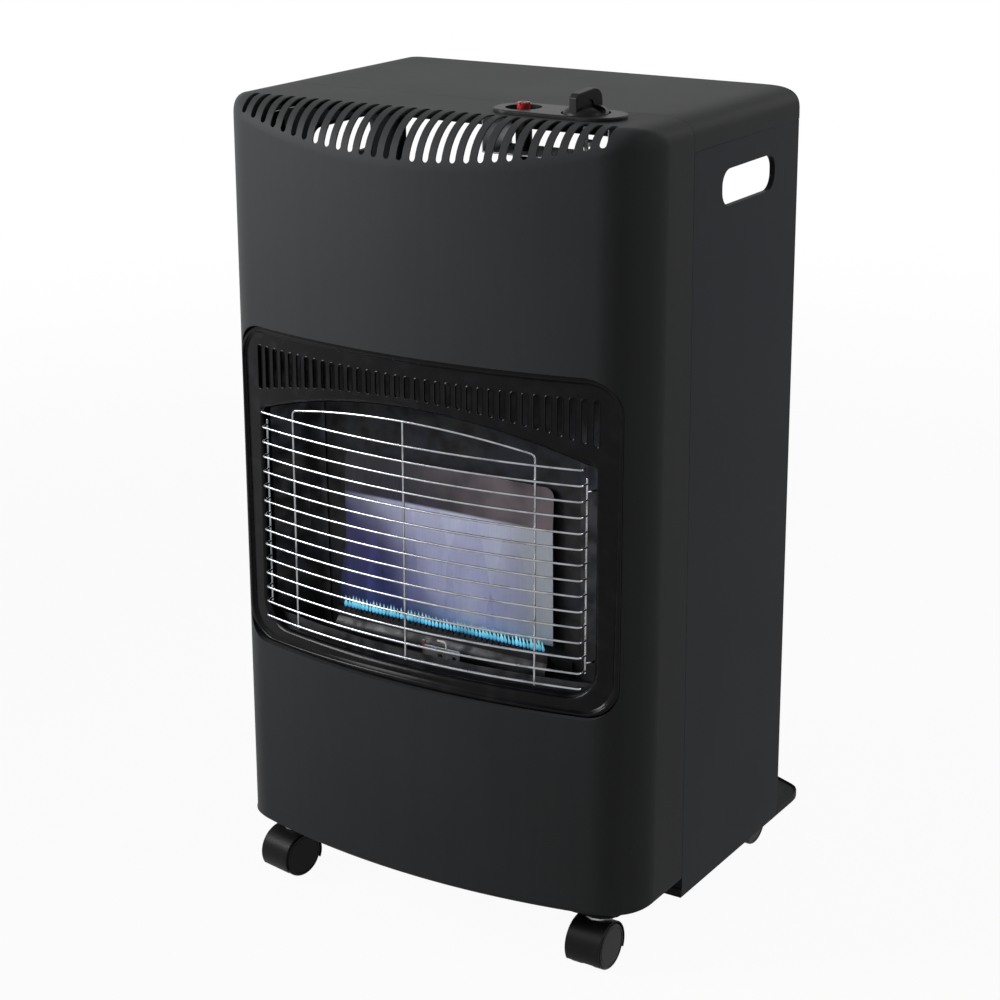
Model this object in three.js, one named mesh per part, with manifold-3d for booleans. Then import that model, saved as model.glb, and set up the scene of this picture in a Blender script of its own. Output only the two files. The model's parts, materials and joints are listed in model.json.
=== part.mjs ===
// Portable gas cabinet heater: a sheet-steel cabinet on four twin-wheel casters. A bowed shell covers the
// front, with a framed window and a wire guard over a blue-flame burner, and an igniter and a knob on top.
// Millimetres, +Z up, front towards -Y. All pieces are drawn from the seam between the front shell and the
// cabinet (y = 0), the middle of the width (x = 0) and the floor (z = 0), and one group centres them.
import * as THREE from "three";
import { mergeVertices } from "three/addons/utils/BufferGeometryUtils.js";
import Module from "manifold-3d";

const wasm = await Module();
wasm.setup();

// ---------------------------------------------------------------- driving dimensions
// Cabinet
const WIDTH = 420; // across the side panels
const HEIGHT = 728; // floor to the top of the cabinet
const CABINET_DEPTH = 190; // seam to the rear edge of the side panels
const SHEET = 1.2; // steel sheet
const FIT = 0.3; // between pieces that seat on each other
const SIDE_FRONT_RETURN = 12;
const SIDE_REAR_RETURN = 10;
const TOP_SKIRT = 27; // height of the top panel's side skirts
const TOP_FRONT_FLANGE = 21;
const TOP_REAR_FLANGE = 14;
const DIVIDER_DROP = 68; // top of the cabinet to the divider, for air and light to pass to the top slots
const DIVIDER_TOP = HEIGHT - DIVIDER_DROP;
const DIVIDER_FLANGE = 10;

// Handle holes in the side panels
const HANDLE_LENGTH = 95.5;
const HANDLE_HEIGHT = 30.5;
const HANDLE_FRONT = 49.5; // seam to the hole's front end
const HANDLE_DROP = 80; // top of the cabinet to the hole's lower edge
const HANDLE_BOTTOM = HEIGHT - HANDLE_DROP;
const HANDLE_CORNER = 13;
const HANDLE_FLANGE = 4; // edge turned in

// Base pan
const PAN_BOTTOM = 42.5;
const PAN_RIM = 7; // rim height
const PAN_FLOOR = 4; // underside of the floor above the rim's lower edge
const PAN_REAR_REACH = 100; // middle of the rear edge behind the side panels
const PAN_REAR = CABINET_DEPTH + PAN_REAR_REACH;
const PAN_REAR_RADIUS = 465; // bow of the rear edge
const PAN_REAR_CORNER = 22;
const PAN_FRONT_LIP = 1.5; // pan in front of the side panels' front edges
const TONGUE_MARGIN = 25; // shell beside the tongue that runs forward under it
const TONGUE_HALF_WIDTH = WIDTH / 2 - TONGUE_MARGIN;
const TONGUE_DEPTH = 79;
const TONGUE_CORNER = 20;
const BOTTLE_PAD_HALF_WIDTH = 142; // raised floor that the gas bottle stands on
const BOTTLE_PAD_FRONT = 8;
const BOTTLE_PAD_REAR_MARGIN = 35; // to the middle of the rear edge
const BOTTLE_PAD_CORNER = 24;
const BOTTLE_PAD_RISE = SHEET;

// Front shell
const BOW_RADIUS = 707; // front face, seen from above
const FRONT_DEPTH = 119.6; // seam to the foot of the front, at mid width
const LEAN = THREE.MathUtils.degToRad(0.97); // the front leans back
const SHELL_BOTTOM = 58.8;
const SIDE_ROUNDING = 38; // upright front corners, seen from above
const BOTTOM_ROUNDING = 6; // lower front edge
const BOTTOM_CORNER_POWER = 6; // squareness of the lower corners, seen from the front
const TOP_FLAT = 65; // flat top, from the seam to where the shoulder falls away
const TOP_CORNER_POWER = 3.3; // squareness of the upper corners, seen from the front

// Outlet slots over the shoulder
const SLOT_COUNT = 29;
const SLOT_MARGIN = 35.3; // side of the shell to the outermost slot
const SLOT_PITCH = (WIDTH - 2 * SLOT_MARGIN) / (SLOT_COUNT - 1);
const SLOT_WIDTH = 6;
const SLOT_UPPER_END = 66; // seam to the slots' upper ends
const SLOT_DROP_MIDDLE = 35; // top to the lower end of the middle slot
const SLOT_DROP_END = 13.5; // and of the outermost slots

// Window opening, its surround and the vents above the fire
const WINDOW_MARGIN = 17; // shell beside the window
const WINDOW_HALF_WIDTH = WIDTH / 2 - WINDOW_MARGIN;
const WINDOW_BOTTOM = 239;
const WINDOW_DROP = 196; // top of the cabinet to the window
const WINDOW_TOP = HEIGHT - WINDOW_DROP;
const WINDOW_LOWER_CORNER = 28;
const WINDOW_UPPER_CORNER = 30;
const WINDOW_FLANGE = 8; // shell edge turned in
const SURROUND_SET_BACK = 8; // surround's face behind the shell's bow
const SURROUND_SKIRT = 10; // outer skirt behind the face
const SURROUND_BEAD = 3; // rise of the outer bead
const SURROUND_LIP = 12; // depth of the rolled inner lip behind the face
const SURROUND_SIDE = 23; // width of the surround beside the fire opening
const FIRE_HALF_WIDTH = WINDOW_HALF_WIDTH - SURROUND_SIDE;
const SURROUND_SILL = 15;
const SURROUND_CROWN = 48; // window's top to the crown of the arch
const ARCH_RISE = 35;
const FIRE_BOTTOM = WINDOW_BOTTOM + SURROUND_SILL;
const FIRE_CROWN = WINDOW_TOP - SURROUND_CROWN;
const FIRE_SIDE_TOP = FIRE_CROWN - ARCH_RISE; // where the upper corners begin
const FIRE_LOWER_CORNER = 26;
const FIRE_UPPER_CORNER = 7;
const VENT_COUNT = 35;
const VENT_PITCH = (2 * FIRE_HALF_WIDTH) / (VENT_COUNT - 1);
const VENT_WIDTH = 4.6;
const VENT_DROP = 19.5; // window's top to the vents
const VENT_TOP = WINDOW_TOP - VENT_DROP;
const VENT_LENGTH_MIDDLE = 19;
const VENT_LENGTH_END = 39.5;

// Wire guard
const WIRE = 2.5; // diameter
const GUARD_WIRES = 15;
const GUARD_SIDE_GAP = 7; // fire opening to the guard's uprights
const GUARD_TOP_GAP = 28.5; // crown of the arch to the top wire
const GUARD_BOTTOM_GAP = 12.5;
const GUARD_TOP_WIRE = FIRE_CROWN - GUARD_TOP_GAP;
const GUARD_LOWEST_WIRE = FIRE_BOTTOM + GUARD_BOTTOM_GAP;
const GUARD_PITCH = (GUARD_TOP_WIRE - GUARD_LOWEST_WIRE) / (GUARD_WIRES - 1);
const GUARD_HALF_WIDTH = FIRE_HALF_WIDTH - GUARD_SIDE_GAP;
const GUARD_RETURN = 8.5; // how far the ends turn back to the upright rods
const GUARD_BEND = 4;
const HOOP_SIDE_GAP = 40; // guard's uprights to the hoop's legs
const HOOP_TOP_GAP = 8; // crown of the arch to the hoop
const HOOP_RISE = 12;
const HOOP_HALF_WIDTH = GUARD_HALF_WIDTH - HOOP_SIDE_GAP;
const HOOP_CROWN = FIRE_CROWN - HOOP_TOP_GAP;
const HOOP_SHOULDER = HOOP_CROWN - HOOP_RISE;
const HOOP_BEND = 5;
const GUARD_HOOK_DEPTH = 16; // hooked rod ends, behind the bow

// Fire: reflector, burner and the sheet box round them
const REFLECTOR_MARGIN = 62; // fire opening beside the reflector
const REFLECTOR_HALF_WIDTH = FIRE_HALF_WIDTH - REFLECTOR_MARGIN;
const REFLECTOR_FRONT = 49; // seam to its face
const REFLECTOR_HEIGHT = 141;
const REFLECTOR_FOLD_HEIGHT = 104;
const REFLECTOR_CORNER = 8;
const SHIELD_FRONT = 42; // seam to the face of the rear heat shield
const SHIELD_MARGIN = 18; // fire opening beside the heat shield
const SHIELD_DROP = 128; // top of the cabinet to the heat shield
const TRAY_DROP = 7; // fire opening to the underside of the tray
const SHIELD_HALF_WIDTH = FIRE_HALF_WIDTH - SHIELD_MARGIN;
const SHIELD_TOP = HEIGHT - SHIELD_DROP;
const TRAY_BOTTOM = FIRE_BOTTOM - TRAY_DROP;
const TRAY_OVERHANG = 10; // past the fire opening
const TRAY_LIP = 16; // upturned front edge, seen just above the window's lower edge
const TRAY_FRONT_GAP = 1.5; // between the surround's lip and the tray
const WALL_FOOT = 20; // feet of the fire walls and brackets
const WALL_EDGE = 8; // outward edge of the fire walls
const BRACKET_INSET = 12;
const BRACKET_X = SHIELD_HALF_WIDTH - BRACKET_INSET;
const REFLECTOR_LEAN = 2.5; // how far the top leans back above the fold
const PROBE_X = -7; // thermocouple
const WALL_DROP = 55; // heat shield's top to the side walls'
const WALL_TOP = SHIELD_TOP - WALL_DROP;
const HOOD_REACH = 34; // curved deflector over the fire
const BURNER_OVERHANG = 2; // past the reflector
const BURNER_HALF_LENGTH = REFLECTOR_HALF_WIDTH + BURNER_OVERHANG;
const BURNER_LINE = 58; // seam to the row of ports
const BURNER_RISE = 27.5; // above the underside of the tray
const BURNER_TOP = TRAY_BOTTOM + BURNER_RISE;
const REFLECTOR_BOTTOM = BURNER_TOP + 5 * FIT;
const REFLECTOR_TOP = REFLECTOR_BOTTOM + REFLECTOR_HEIGHT;
const REFLECTOR_FOLD = REFLECTOR_BOTTOM + REFLECTOR_FOLD_HEIGHT;
const BURNER_BODY_RADIUS = 8.5;
const BURNER_NECK = 7; // width under the ports
const PORT_COUNT = 36;
const PORT_PITCH = (2 * (BURNER_HALF_LENGTH - BURNER_BODY_RADIUS)) / (PORT_COUNT - 1);
const PORT_WIDTH = 1.8;
const PORT_DEPTH = 3;
const BURNER_INLET_INSET = 28;
const BURNER_INLET_X = BURNER_HALF_LENGTH - BURNER_INLET_INSET;
const BURNER_INLET_RADIUS = 7;
const BURNER_INLET_DROP = 16; // inlet below the tray

// Pilot flame assembly
const PILOT_X = 6;
const PILOT_LINE = 76; // seam to the pilot
const PILOT_PLATE_LENGTH = 36;
const PILOT_PLATE_TOP = BURNER_TOP - BURNER_BODY_RADIUS;
const PILOT_RADIUS = 3.5;
const PILOT_RISE = 15; // above the underside of the tray
const PILOT_TOP = TRAY_BOTTOM + PILOT_RISE;
const PROBE_RADIUS = 1.6; // thermocouple
const SPARK_WIRE = 1.6;
const SPARK_POST = 2.2; // radius of its ceramic
const PLATE_HOLE = 2.5;
const JET_LENGTH = 13;

// Controls on the shell's flat top
const CONTROLS_Y = -35;
const KNOB_INSET = 79; // from the side of the shell
const BUTTON_PITCH = 58; // knob to button
const KNOB_X = WIDTH / 2 - KNOB_INSET;
const BUTTON_X = KNOB_X - BUTTON_PITCH;
const BEZEL_BESIDE_BUTTON = 25;
const BEZEL_BESIDE_KNOB = 35;
const BEZEL_LEFT = BUTTON_X - BEZEL_BESIDE_BUTTON;
const BEZEL_RIGHT = KNOB_X + BEZEL_BESIDE_KNOB;
const BEZEL_HALF_DEPTH = 22;
const BEZEL_THICKNESS = 3;
const KNOB_CUP_RADIUS = 20;
const BUTTON_CUP_RADIUS = 15;
const CUP_DEPTH = 6.5; // from the bezel's face to the cups' floors
const CUP_WALL = 1.2;
const KNOB_RADIUS = 18.5;
const KNOB_SKIRT = 8;
const KNOB_GRIP_LENGTH = 34;
const KNOB_GRIP_WIDTH = 8;
const KNOB_GRIP_HEIGHT = 21; // above the skirt's lower edge
const KNOB_EDGE = 1.6; // straight foot of the skirt
const KNOB_SHOULDER = 5.2;
const KNOB_SHOULDER_RADIUS = 16.1;
const KNOB_HEEL = 8.4; // where the grip's rear begins to curve
const KNOB_HEEL_BEND = 11;
const KNOB_NOSE = 15.8; // top of the grip's front edge
const KNOB_NOSE_TOP = 19;
const KNOB_NOSE_BEVEL = 3.4;
const KNOB_TURN = THREE.MathUtils.degToRad(-7);
const PUSH_TRAVEL = 4;
const BUTTON_RADIUS = 5.5;
const BUTTON_RISE = 11; // above the bezel's cup floor
const BUTTON_TRAVEL = 6;
const SPINDLE_RADIUS = 2.2;
const COLLAR_RADIUS = 7;
const COLLAR_HEIGHT = 4;
const BRACKET_DROP = 30; // shell's top to the controls bracket
const VALVE_NECK_RADIUS = 9;
const VALVE_BODY = 26;
const PILOT_OUTLET_INSET = 8.67; // middle of the valve to its pilot outlet
const VALVE_BODY_HEIGHT = 52;
const IGNITER_RADIUS = 7;
const IGNITER_LENGTH = 62;
const PIPE_RADIUS = 3;
const SUPPLY_RADIUS = 4;
const PILOT_PIPE_RADIUS = 1.8;
const PIPE_BEND = 9;
const PIPE_DROP = 12; // foot of the burner's jet to the pipe's run under it
const NUT_RADIUS = 9;
const NUT_LENGTH = 10;
const BARB_PITCH = 6;

// Casters
const CASTER_INSET = 45; // side of the cabinet to the wheel centres
const CASTER_FRONT_INSET = 5; // front of the tongue to the wheel centres
const CASTER_REAR_INSET = 87;
const CASTER_X = WIDTH / 2 - CASTER_INSET;
const CASTER_FRONT = CASTER_FRONT_INSET - TONGUE_DEPTH;
const CASTER_REAR = PAN_REAR - CASTER_REAR_INSET;
const CASTER_WIDTH = 34;
const CASTER_CORE = 12; // web between the two wheels
const CASTER_TRAIL = 10; // swivel pin to the wheel centre
const WHEEL_RADIUS = 21;
const HOOD_GAP = 0.7; // between the tread and the hood
const HOOD_WALL = 1.2;
const HOOD_ENDS = [-0.14 * Math.PI, 0.83 * Math.PI]; // round the axle, from the rear
const AXLE_RADIUS = 2.5;
const PIN_RADIUS = 3;
const PIN_LENGTH = 12;
const CASTER_PLATE_RADIUS = 15;
const CASTER_PLATE = 2;
const WHEEL_SIDES = 16;
const WHEEL_EDGE = 1.2;
const LEFT_CASTER_TURN = THREE.MathUtils.degToRad(-10.5);

// Facets
const FRONT_STEPS = 8; // across half of the bow
const CORNER_STEPS = 4;
const ROUNDING_RINGS = 3;
const WINDOW_EDGE_STEPS = 6; // across half of the window
const WINDOW_CORNER_STEPS = 3;
const SLOT_END_STEPS = 3; // round each end of a slot or vent
const SLOT_REACH = 20; // of a slot's cut, each way from the shoulder's chord

// ---------------------------------------------------------------- finishes
const FINISH = {
  charcoal: { color: 0x2b2c2e, roughness: 0.62, metalness: 0.1 },
  sidePaint: { color: 0x24272a, roughness: 0.55, metalness: 0.1 },
  glossBlack: { color: 0x0b0b0c, roughness: 0.18, metalness: 0.1 },
  galvanised: { color: 0x8c9094, roughness: 0.45, metalness: 0.9 },
  sooty: { color: 0x1c1c1e, roughness: 0.7, metalness: 0.4 },
  reflector: { color: 0xc4c8d0, roughness: 0.3, metalness: 0.9 },
  chrome: { color: 0xd8d8dc, roughness: 0.12, metalness: 1.0 },
  brass: { color: 0xb08d4a, roughness: 0.35, metalness: 0.9 },
  copper: { color: 0xa8623f, roughness: 0.35, metalness: 0.9 },
  steel: { color: 0x9a9c9f, roughness: 0.3, metalness: 1.0 },
  blackPlastic: { color: 0x111112, roughness: 0.45, metalness: 0.0 },
  redPlastic: { color: 0x8e1510, roughness: 0.3, metalness: 0.0 },
  ceramic: { color: 0xe6e2d8, roughness: 0.4, metalness: 0.0 },
};

// ---------------------------------------------------------------- solids and booleans
// A closed geometry as a solid, its seams merged and its faces turned outwards.
function solid(geometry) {
  const bare = geometry.clone();
  bare.deleteAttribute("normal");
  bare.deleteAttribute("uv");
  const merged = mergeVertices(bare, 1e-4);
  const corners = [];
  for (let i = 0; i < merged.index.count; i += 3) {
    const [a, b, c] = merged.index.array.slice(i, i + 3);
    if (a !== b && b !== c && c !== a) corners.push([a, b, c]);
  }
  const make = (turned) =>
    new wasm.Manifold(
      new wasm.Mesh({
        numProp: 3,
        vertProperties: merged.attributes.position.array,
        triVerts: new Uint32Array(corners.flatMap(([a, b, c]) => (turned ? [a, c, b] : [a, b, c]))),
      }),
    );
  const made = make(false);
  return made.volume() < 0 ? make(true) : made;
}

// The solid's surface as a geometry with flat faces.
function surfaceOf(shape) {
  const mesh = shape.getMesh();
  const indexed = new THREE.BufferGeometry()
    .setAttribute("position", new THREE.BufferAttribute(new Float32Array(mesh.vertProperties), 3))
    .setIndex(new THREE.BufferAttribute(mesh.triVerts, 1));
  const flat = indexed.toNonIndexed();
  flat.computeVertexNormals();
  return flat;
}

const joined = (...shapes) => shapes.flat().reduce((whole, next) => whole.add(next));
const cutBy = (shape, ...cutters) => shape.subtract(joined(...cutters));

// ---------------------------------------------------------------- profiles and extrusions
// An outline pushed along an axis. Its coordinates are (x, y) along z, (x, z) along y and (y, z) along x.
const PUSH = {
  z: new THREE.Matrix4(),
  y: new THREE.Matrix4().set(1, 0, 0, 0, 0, 0, -1, 0, 0, 1, 0, 0, 0, 0, 0, 1),
  x: new THREE.Matrix4().set(0, 0, 1, 0, 1, 0, 0, 0, 0, 1, 0, 0, 0, 0, 0, 1),
};

function push(outline, axis, from, to, curveSegments = 4) {
  const geometry = new THREE.ExtrudeGeometry(outline, {
    depth: to - from,
    bevelEnabled: false,
    curveSegments,
  });
  geometry.translate(0, 0, axis === "y" ? -to : from);
  return solid(geometry.applyMatrix4(PUSH[axis]));
}

const pointsToShape = (points) => new THREE.Shape(points.map(([x, y]) => new THREE.Vector2(x, y)));

function box(x0, x1, y0, y1, z0, z1) {
  const geometry = new THREE.BoxGeometry(x1 - x0, y1 - y0, z1 - z0);
  return solid(geometry.translate((x0 + x1) / 2, (y0 + y1) / 2, (z0 + z1) / 2));
}

function roundedRectangle(x0, x1, y0, y1, radius) {
  const shape = new THREE.Shape();
  shape.moveTo(x0 + radius, y0);
  shape.lineTo(x1 - radius, y0);
  shape.absarc(x1 - radius, y0 + radius, radius, -Math.PI / 2, 0);
  shape.lineTo(x1, y1 - radius);
  shape.absarc(x1 - radius, y1 - radius, radius, 0, Math.PI / 2);
  shape.lineTo(x0 + radius, y1);
  shape.absarc(x0 + radius, y1 - radius, radius, Math.PI / 2, Math.PI);
  shape.lineTo(x0, y0 + radius);
  shape.absarc(x0 + radius, y0 + radius, radius, Math.PI, 1.5 * Math.PI);
  return shape;
}

// The closed outline of a folded sheet: a line, and the same line moved to its left by the thickness.
function foldedSheet(line, thickness = SHEET) {
  const points = line.map(([x, y]) => new THREE.Vector2(x, y));
  const leftOf = (a, b) => {
    const along = b.clone().sub(a).normalize();
    return new THREE.Vector2(-along.y, along.x);
  };
  const moved = points.map((point, i) => {
    const before = i > 0 ? leftOf(points[i - 1], point) : leftOf(point, points[i + 1]);
    const after = i < points.length - 1 ? leftOf(point, points[i + 1]) : before;
    const mitre = before.clone().add(after);
    return point.clone().addScaledVector(mitre, (2 * thickness) / mitre.lengthSq());
  });
  return new THREE.Shape([...points, ...moved.reverse()]);
}

// A disc or rod, from one point along an axis to another.
function rod(axis, [u, v], from, to, radius, halfTurnSteps = 8) {
  const circle = new THREE.Shape().absarc(u, v, radius, 0, 2 * Math.PI);
  return push(circle, axis, from, to, halfTurnSteps);
}

// A turned piece about an axis through a point, from its profile of [radius, distance along the axis].
function turned(profile, centre, axis = "z", segments = 20) {
  const points = profile.map(([radius, along]) => new THREE.Vector2(radius, along));
  const geometry = new THREE.LatheGeometry(points, segments);
  if (axis === "z") geometry.rotateX(Math.PI / 2);
  if (axis === "x") geometry.rotateY(Math.PI / segments).rotateZ(-Math.PI / 2);
  return solid(geometry.translate(...centre));
}

// A path that an extrusion follows point by point, so that bends get rings only where they need them.
class PointPath extends THREE.Curve {
  constructor(points) {
    super();
    this.points = points;
  }
  getPoint(t) {
    const place = t * (this.points.length - 1);
    const i = Math.min(Math.floor(place), this.points.length - 2);
    return new THREE.Vector3().lerpVectors(this.points[i], this.points[i + 1], place - i);
  }
  getPointAt(t) {
    return this.getPoint(t);
  }
  getTangentAt(t, target = new THREE.Vector3()) {
    const i = Math.round(t * (this.points.length - 1));
    const before = this.points[Math.max(i - 1, 0)];
    const after = this.points[Math.min(i + 1, this.points.length - 1)];
    return target.subVectors(after, before).normalize();
  }
}

// The points with each inner corner replaced by a short curve that starts and ends at a set distance.
function bend(points, distance, steps = 3) {
  const bent = [points[0]];
  for (let i = 1; i < points.length - 1; i += 1) {
    const start = points[i].clone().add(points[i - 1].clone().sub(points[i]).setLength(distance));
    const end = points[i].clone().add(points[i + 1].clone().sub(points[i]).setLength(distance));
    bent.push(...new THREE.QuadraticBezierCurve3(start, points[i], end).getPoints(steps));
  }
  bent.push(points[points.length - 1]);
  return bent;
}

function wire(points, radius = WIRE / 2, sides = 4) {
  const corners = Array.from({ length: sides }, (_, i) => {
    const angle = (2 * Math.PI * (i + 0.5)) / sides;
    return [radius * Math.cos(angle), radius * Math.sin(angle)];
  });
  const extrudePath = new PointPath(points);
  const steps = points.length - 1;
  return solid(new THREE.ExtrudeGeometry(pointsToShape(corners), { extrudePath, steps }));
}

const point = (x, y, z) => new THREE.Vector3(x, y, z);
const mirrored = (shape) => solid(surfaceOf(shape).scale(-1, 1, 1));

// ---------------------------------------------------------------- scene graph
const heater = new THREE.Group();
const fromSeam = new THREE.Group();
heater.add(fromSeam);

function place(name, shape, finish) {
  const mesh = new THREE.Mesh(surfaceOf(shape), new THREE.MeshStandardMaterial(finish));
  mesh.name = name;
  fromSeam.add(mesh);
  return mesh;
}

// ---------------------------------------------------------------- the bowed front
// Depth of the front face at a place seen from the front, before its edges are rounded.
function frontY(x, z) {
  const bow = BOW_RADIUS - Math.sqrt(BOW_RADIUS ** 2 - x ** 2);
  return -FRONT_DEPTH + bow + (z - SHELL_BOTTOM) * Math.tan(LEAN);
}

const FLAT_X = WIDTH / 2 - SIDE_ROUNDING; // where the upright corners begin to turn
const shoulderRadius = (x) => -TOP_FLAT - frontY(x, HEIGHT);

// Depth of the shell's outside anywhere on the front, with its upright corners turned.
function shellY(x, z) {
  const past = Math.max(Math.abs(x) - FLAT_X, 0);
  return frontY(x, z) + SIDE_ROUNDING - Math.sqrt(SIDE_ROUNDING ** 2 - past ** 2);
}

// Depth of the shoulder over the front at a height, for the slots' lower ends.
function shoulderY(x, z) {
  const radius = shoulderRadius(x);
  const rise = Math.max(z - (HEIGHT - radius), 0) / radius;
  return frontY(x, z) + radius * (1 - Math.sqrt(1 - rise ** 2));
}

// Round the shell's outline, seen from the front: where the edge rounding starts on the face, where it ends
// on the outline and how deep it falls. Each is worked out for a skin set in from the outside.
function shellStations(inset) {
  const faceFoot = SHELL_BOTTOM + BOTTOM_ROUNDING;
  const under = BOTTOM_ROUNDING - inset;
  const side = SIDE_ROUNDING - inset;
  const station = (startX, startZ, endX, endZ, fall) => ({ startX, startZ, endX, endZ, fall });

  const bottom = [];
  for (let i = 0; i <= FRONT_STEPS; i += 1) {
    const x = (FLAT_X * i) / FRONT_STEPS;
    bottom.push(station(x, faceFoot, x, faceFoot - under, under));
  }
  const foot = [];
  for (let i = 1; i <= CORNER_STEPS; i += 1) {
    const turn = ((i / CORNER_STEPS) * Math.PI) / 2;
    const across = i === CORNER_STEPS ? 1 : Math.sin(turn);
    const down = under * (1 - across ** BOTTOM_CORNER_POWER) ** (1 / BOTTOM_CORNER_POWER);
    const back = side * (1 - Math.cos(turn));
    foot.push(station(FLAT_X, faceFoot, FLAT_X + side * across, faceFoot - down, back + down));
  }

  const top = bottom.map(({ startX }) => {
    const radius = shoulderRadius(startX);
    return station(startX, HEIGHT - radius, startX, HEIGHT - inset, radius - inset);
  });

  const last = top[top.length - 1];
  const corner = [];
  for (let i = 0; i < CORNER_STEPS; i += 1) {
    const turn = ((i / CORNER_STEPS) * Math.PI) / 2;
    const across = Math.cos(turn) ** (2 / TOP_CORNER_POWER);
    const up = Math.sin(turn) ** (2 / TOP_CORNER_POWER);
    corner.push(
      station(
        last.startX,
        last.startZ,
        last.startX + side * across,
        last.startZ + last.fall * up,
        side * Math.cos(turn) ** 2 + last.fall * Math.sin(turn) ** 2,
      ),
    );
  }
  const right = [...bottom, ...foot, ...corner, ...top.slice().reverse()];
  const left = right
    .slice(1, -1)
    .reverse()
    .map((s) => ({ ...s, startX: -s.startX, endX: -s.endX }));
  return { loop: [...right, ...left], half: bottom.length, rightCount: right.length };
}

// One skin of the shell as loops of points: from the flat of the face, over the edge, back to the seam.
function shellSkin(inset) {
  const { loop, half, rightCount } = shellStations(inset);
  const loops = [];
  for (let ring = 0; ring <= ROUNDING_RINGS; ring += 1) {
    const turn = ((ring / ROUNDING_RINGS) * Math.PI) / 2;
    loops.push(
      loop.map(({ startX, startZ, endX, endZ, fall }) => {
        const x = THREE.MathUtils.lerp(startX, endX, Math.sin(turn));
        const z = THREE.MathUtils.lerp(startZ, endZ, Math.sin(turn));
        return point(x, frontY(x, z) + inset + fall * (1 - Math.cos(turn)), z);
      }),
    );
  }
  loops.push(loops[ROUNDING_RINGS].map((p) => point(p.x, 0, p.z)));
  return { loops, half, rightCount };
}

// Joins rows of points with faces. A closed set of rows, each a closed loop, makes a ring of any section.
class Skin {
  corners = [];

  quad(a, b, c, d) {
    this.corners.push(a, b, c, a, c, d);
  }

  between(one, other) {
    one.forEach((_, i) => {
      const next = (i + 1) % one.length;
      this.quad(one[i], one[next], other[next], other[i]);
    });
  }

  solid() {
    return solid(new THREE.BufferGeometry().setFromPoints(this.corners));
  }
}

function ringOf(loops) {
  const skin = new Skin();
  loops.forEach((loop, i) => skin.between(loop, loops[(i + 1) % loops.length]));
  return skin.solid();
}

// The pressed pan of the front: an outer and an inner skin, joined by the rim at the seam.
function pressedPan() {
  const skin = new Skin();
  const outer = shellSkin(0);
  const inner = shellSkin(SHEET);
  const rows = [...outer.loops, ...inner.loops.slice().reverse()];
  rows.slice(1).forEach((row, i) => skin.between(rows[i], row));
  for (const [{ loops, half, rightCount }, turned] of [
    [outer, true],
    [inner, false],
  ]) {
    const flat = loops[0];
    const strip = (below, above) => {
      for (let i = 0; i < half - 1; i += 1) {
        const around = [below(i), below(i + 1), above(i + 1), above(i)];
        skin.quad(...(turned ? around.reverse() : around));
      }
    };
    const onLeft = (i) => (i === 0 ? flat[0] : flat[flat.length - i]);
    strip((i) => flat[i], (i) => flat[rightCount - 1 - i]);
    strip((i) => flat[(rightCount - 1 + i) % flat.length], (i) => onLeft(i));
  }
  return skin.solid();
}

// The window's outline, with its lower corners, upper corners and crown, moved out by a margin. Points run
// from the middle of the lower edge round to the right, the same number for each outline.
function windowOutline({ halfWidth, bottom, sideTop, crown, lower, upper }, margin = 0) {
  const arc = (cx, cz, radius, from, to) =>
    Array.from({ length: WINDOW_CORNER_STEPS + 1 }, (_, i) => {
      const turn = THREE.MathUtils.mapLinear(i, 0, WINDOW_CORNER_STEPS, from, to);
      return [cx + (radius + margin) * Math.cos(turn), cz + (radius + margin) * Math.sin(turn)];
    });
  const right = [];
  for (let i = 0; i < WINDOW_EDGE_STEPS; i += 1) {
    right.push([((halfWidth - lower) * i) / WINDOW_EDGE_STEPS, bottom - margin]);
  }
  right.push(...arc(halfWidth - lower, bottom + lower, lower, -Math.PI / 2, 0));
  right.push(...arc(halfWidth - upper, sideTop, upper, 0, Math.PI / 2));
  for (let i = WINDOW_EDGE_STEPS - 1; i >= 0; i -= 1) {
    const across = i / WINDOW_EDGE_STEPS;
    const z = crown - (crown - sideTop - upper) * across ** 2;
    right.push([(halfWidth - upper) * across, z + margin]);
  }
  const left = right.slice(1, -1).reverse();
  return [...right, ...left.map(([x, z]) => [-x, z])];
}

const OPENING = {
  halfWidth: WINDOW_HALF_WIDTH,
  bottom: WINDOW_BOTTOM,
  sideTop: WINDOW_TOP - WINDOW_UPPER_CORNER,
  crown: WINDOW_TOP,
  lower: WINDOW_LOWER_CORNER,
  upper: WINDOW_UPPER_CORNER,
};
const FIRE_OPENING = {
  halfWidth: FIRE_HALF_WIDTH,
  bottom: FIRE_BOTTOM,
  sideTop: FIRE_SIDE_TOP,
  crown: FIRE_CROWN,
  lower: FIRE_LOWER_CORNER,
  upper: FIRE_UPPER_CORNER,
};

// The shell's edge round the window, turned in.
function windowFlange() {
  const at = (margin, depth) =>
    windowOutline(OPENING, margin).map(([x, z]) => point(x, shellY(x, z) + depth, z));
  return ringOf([
    at(0, FIT),
    at(0, WINDOW_FLANGE),
    at(SHEET, WINDOW_FLANGE),
    at(SHEET, FIT),
  ]);
}

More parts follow.
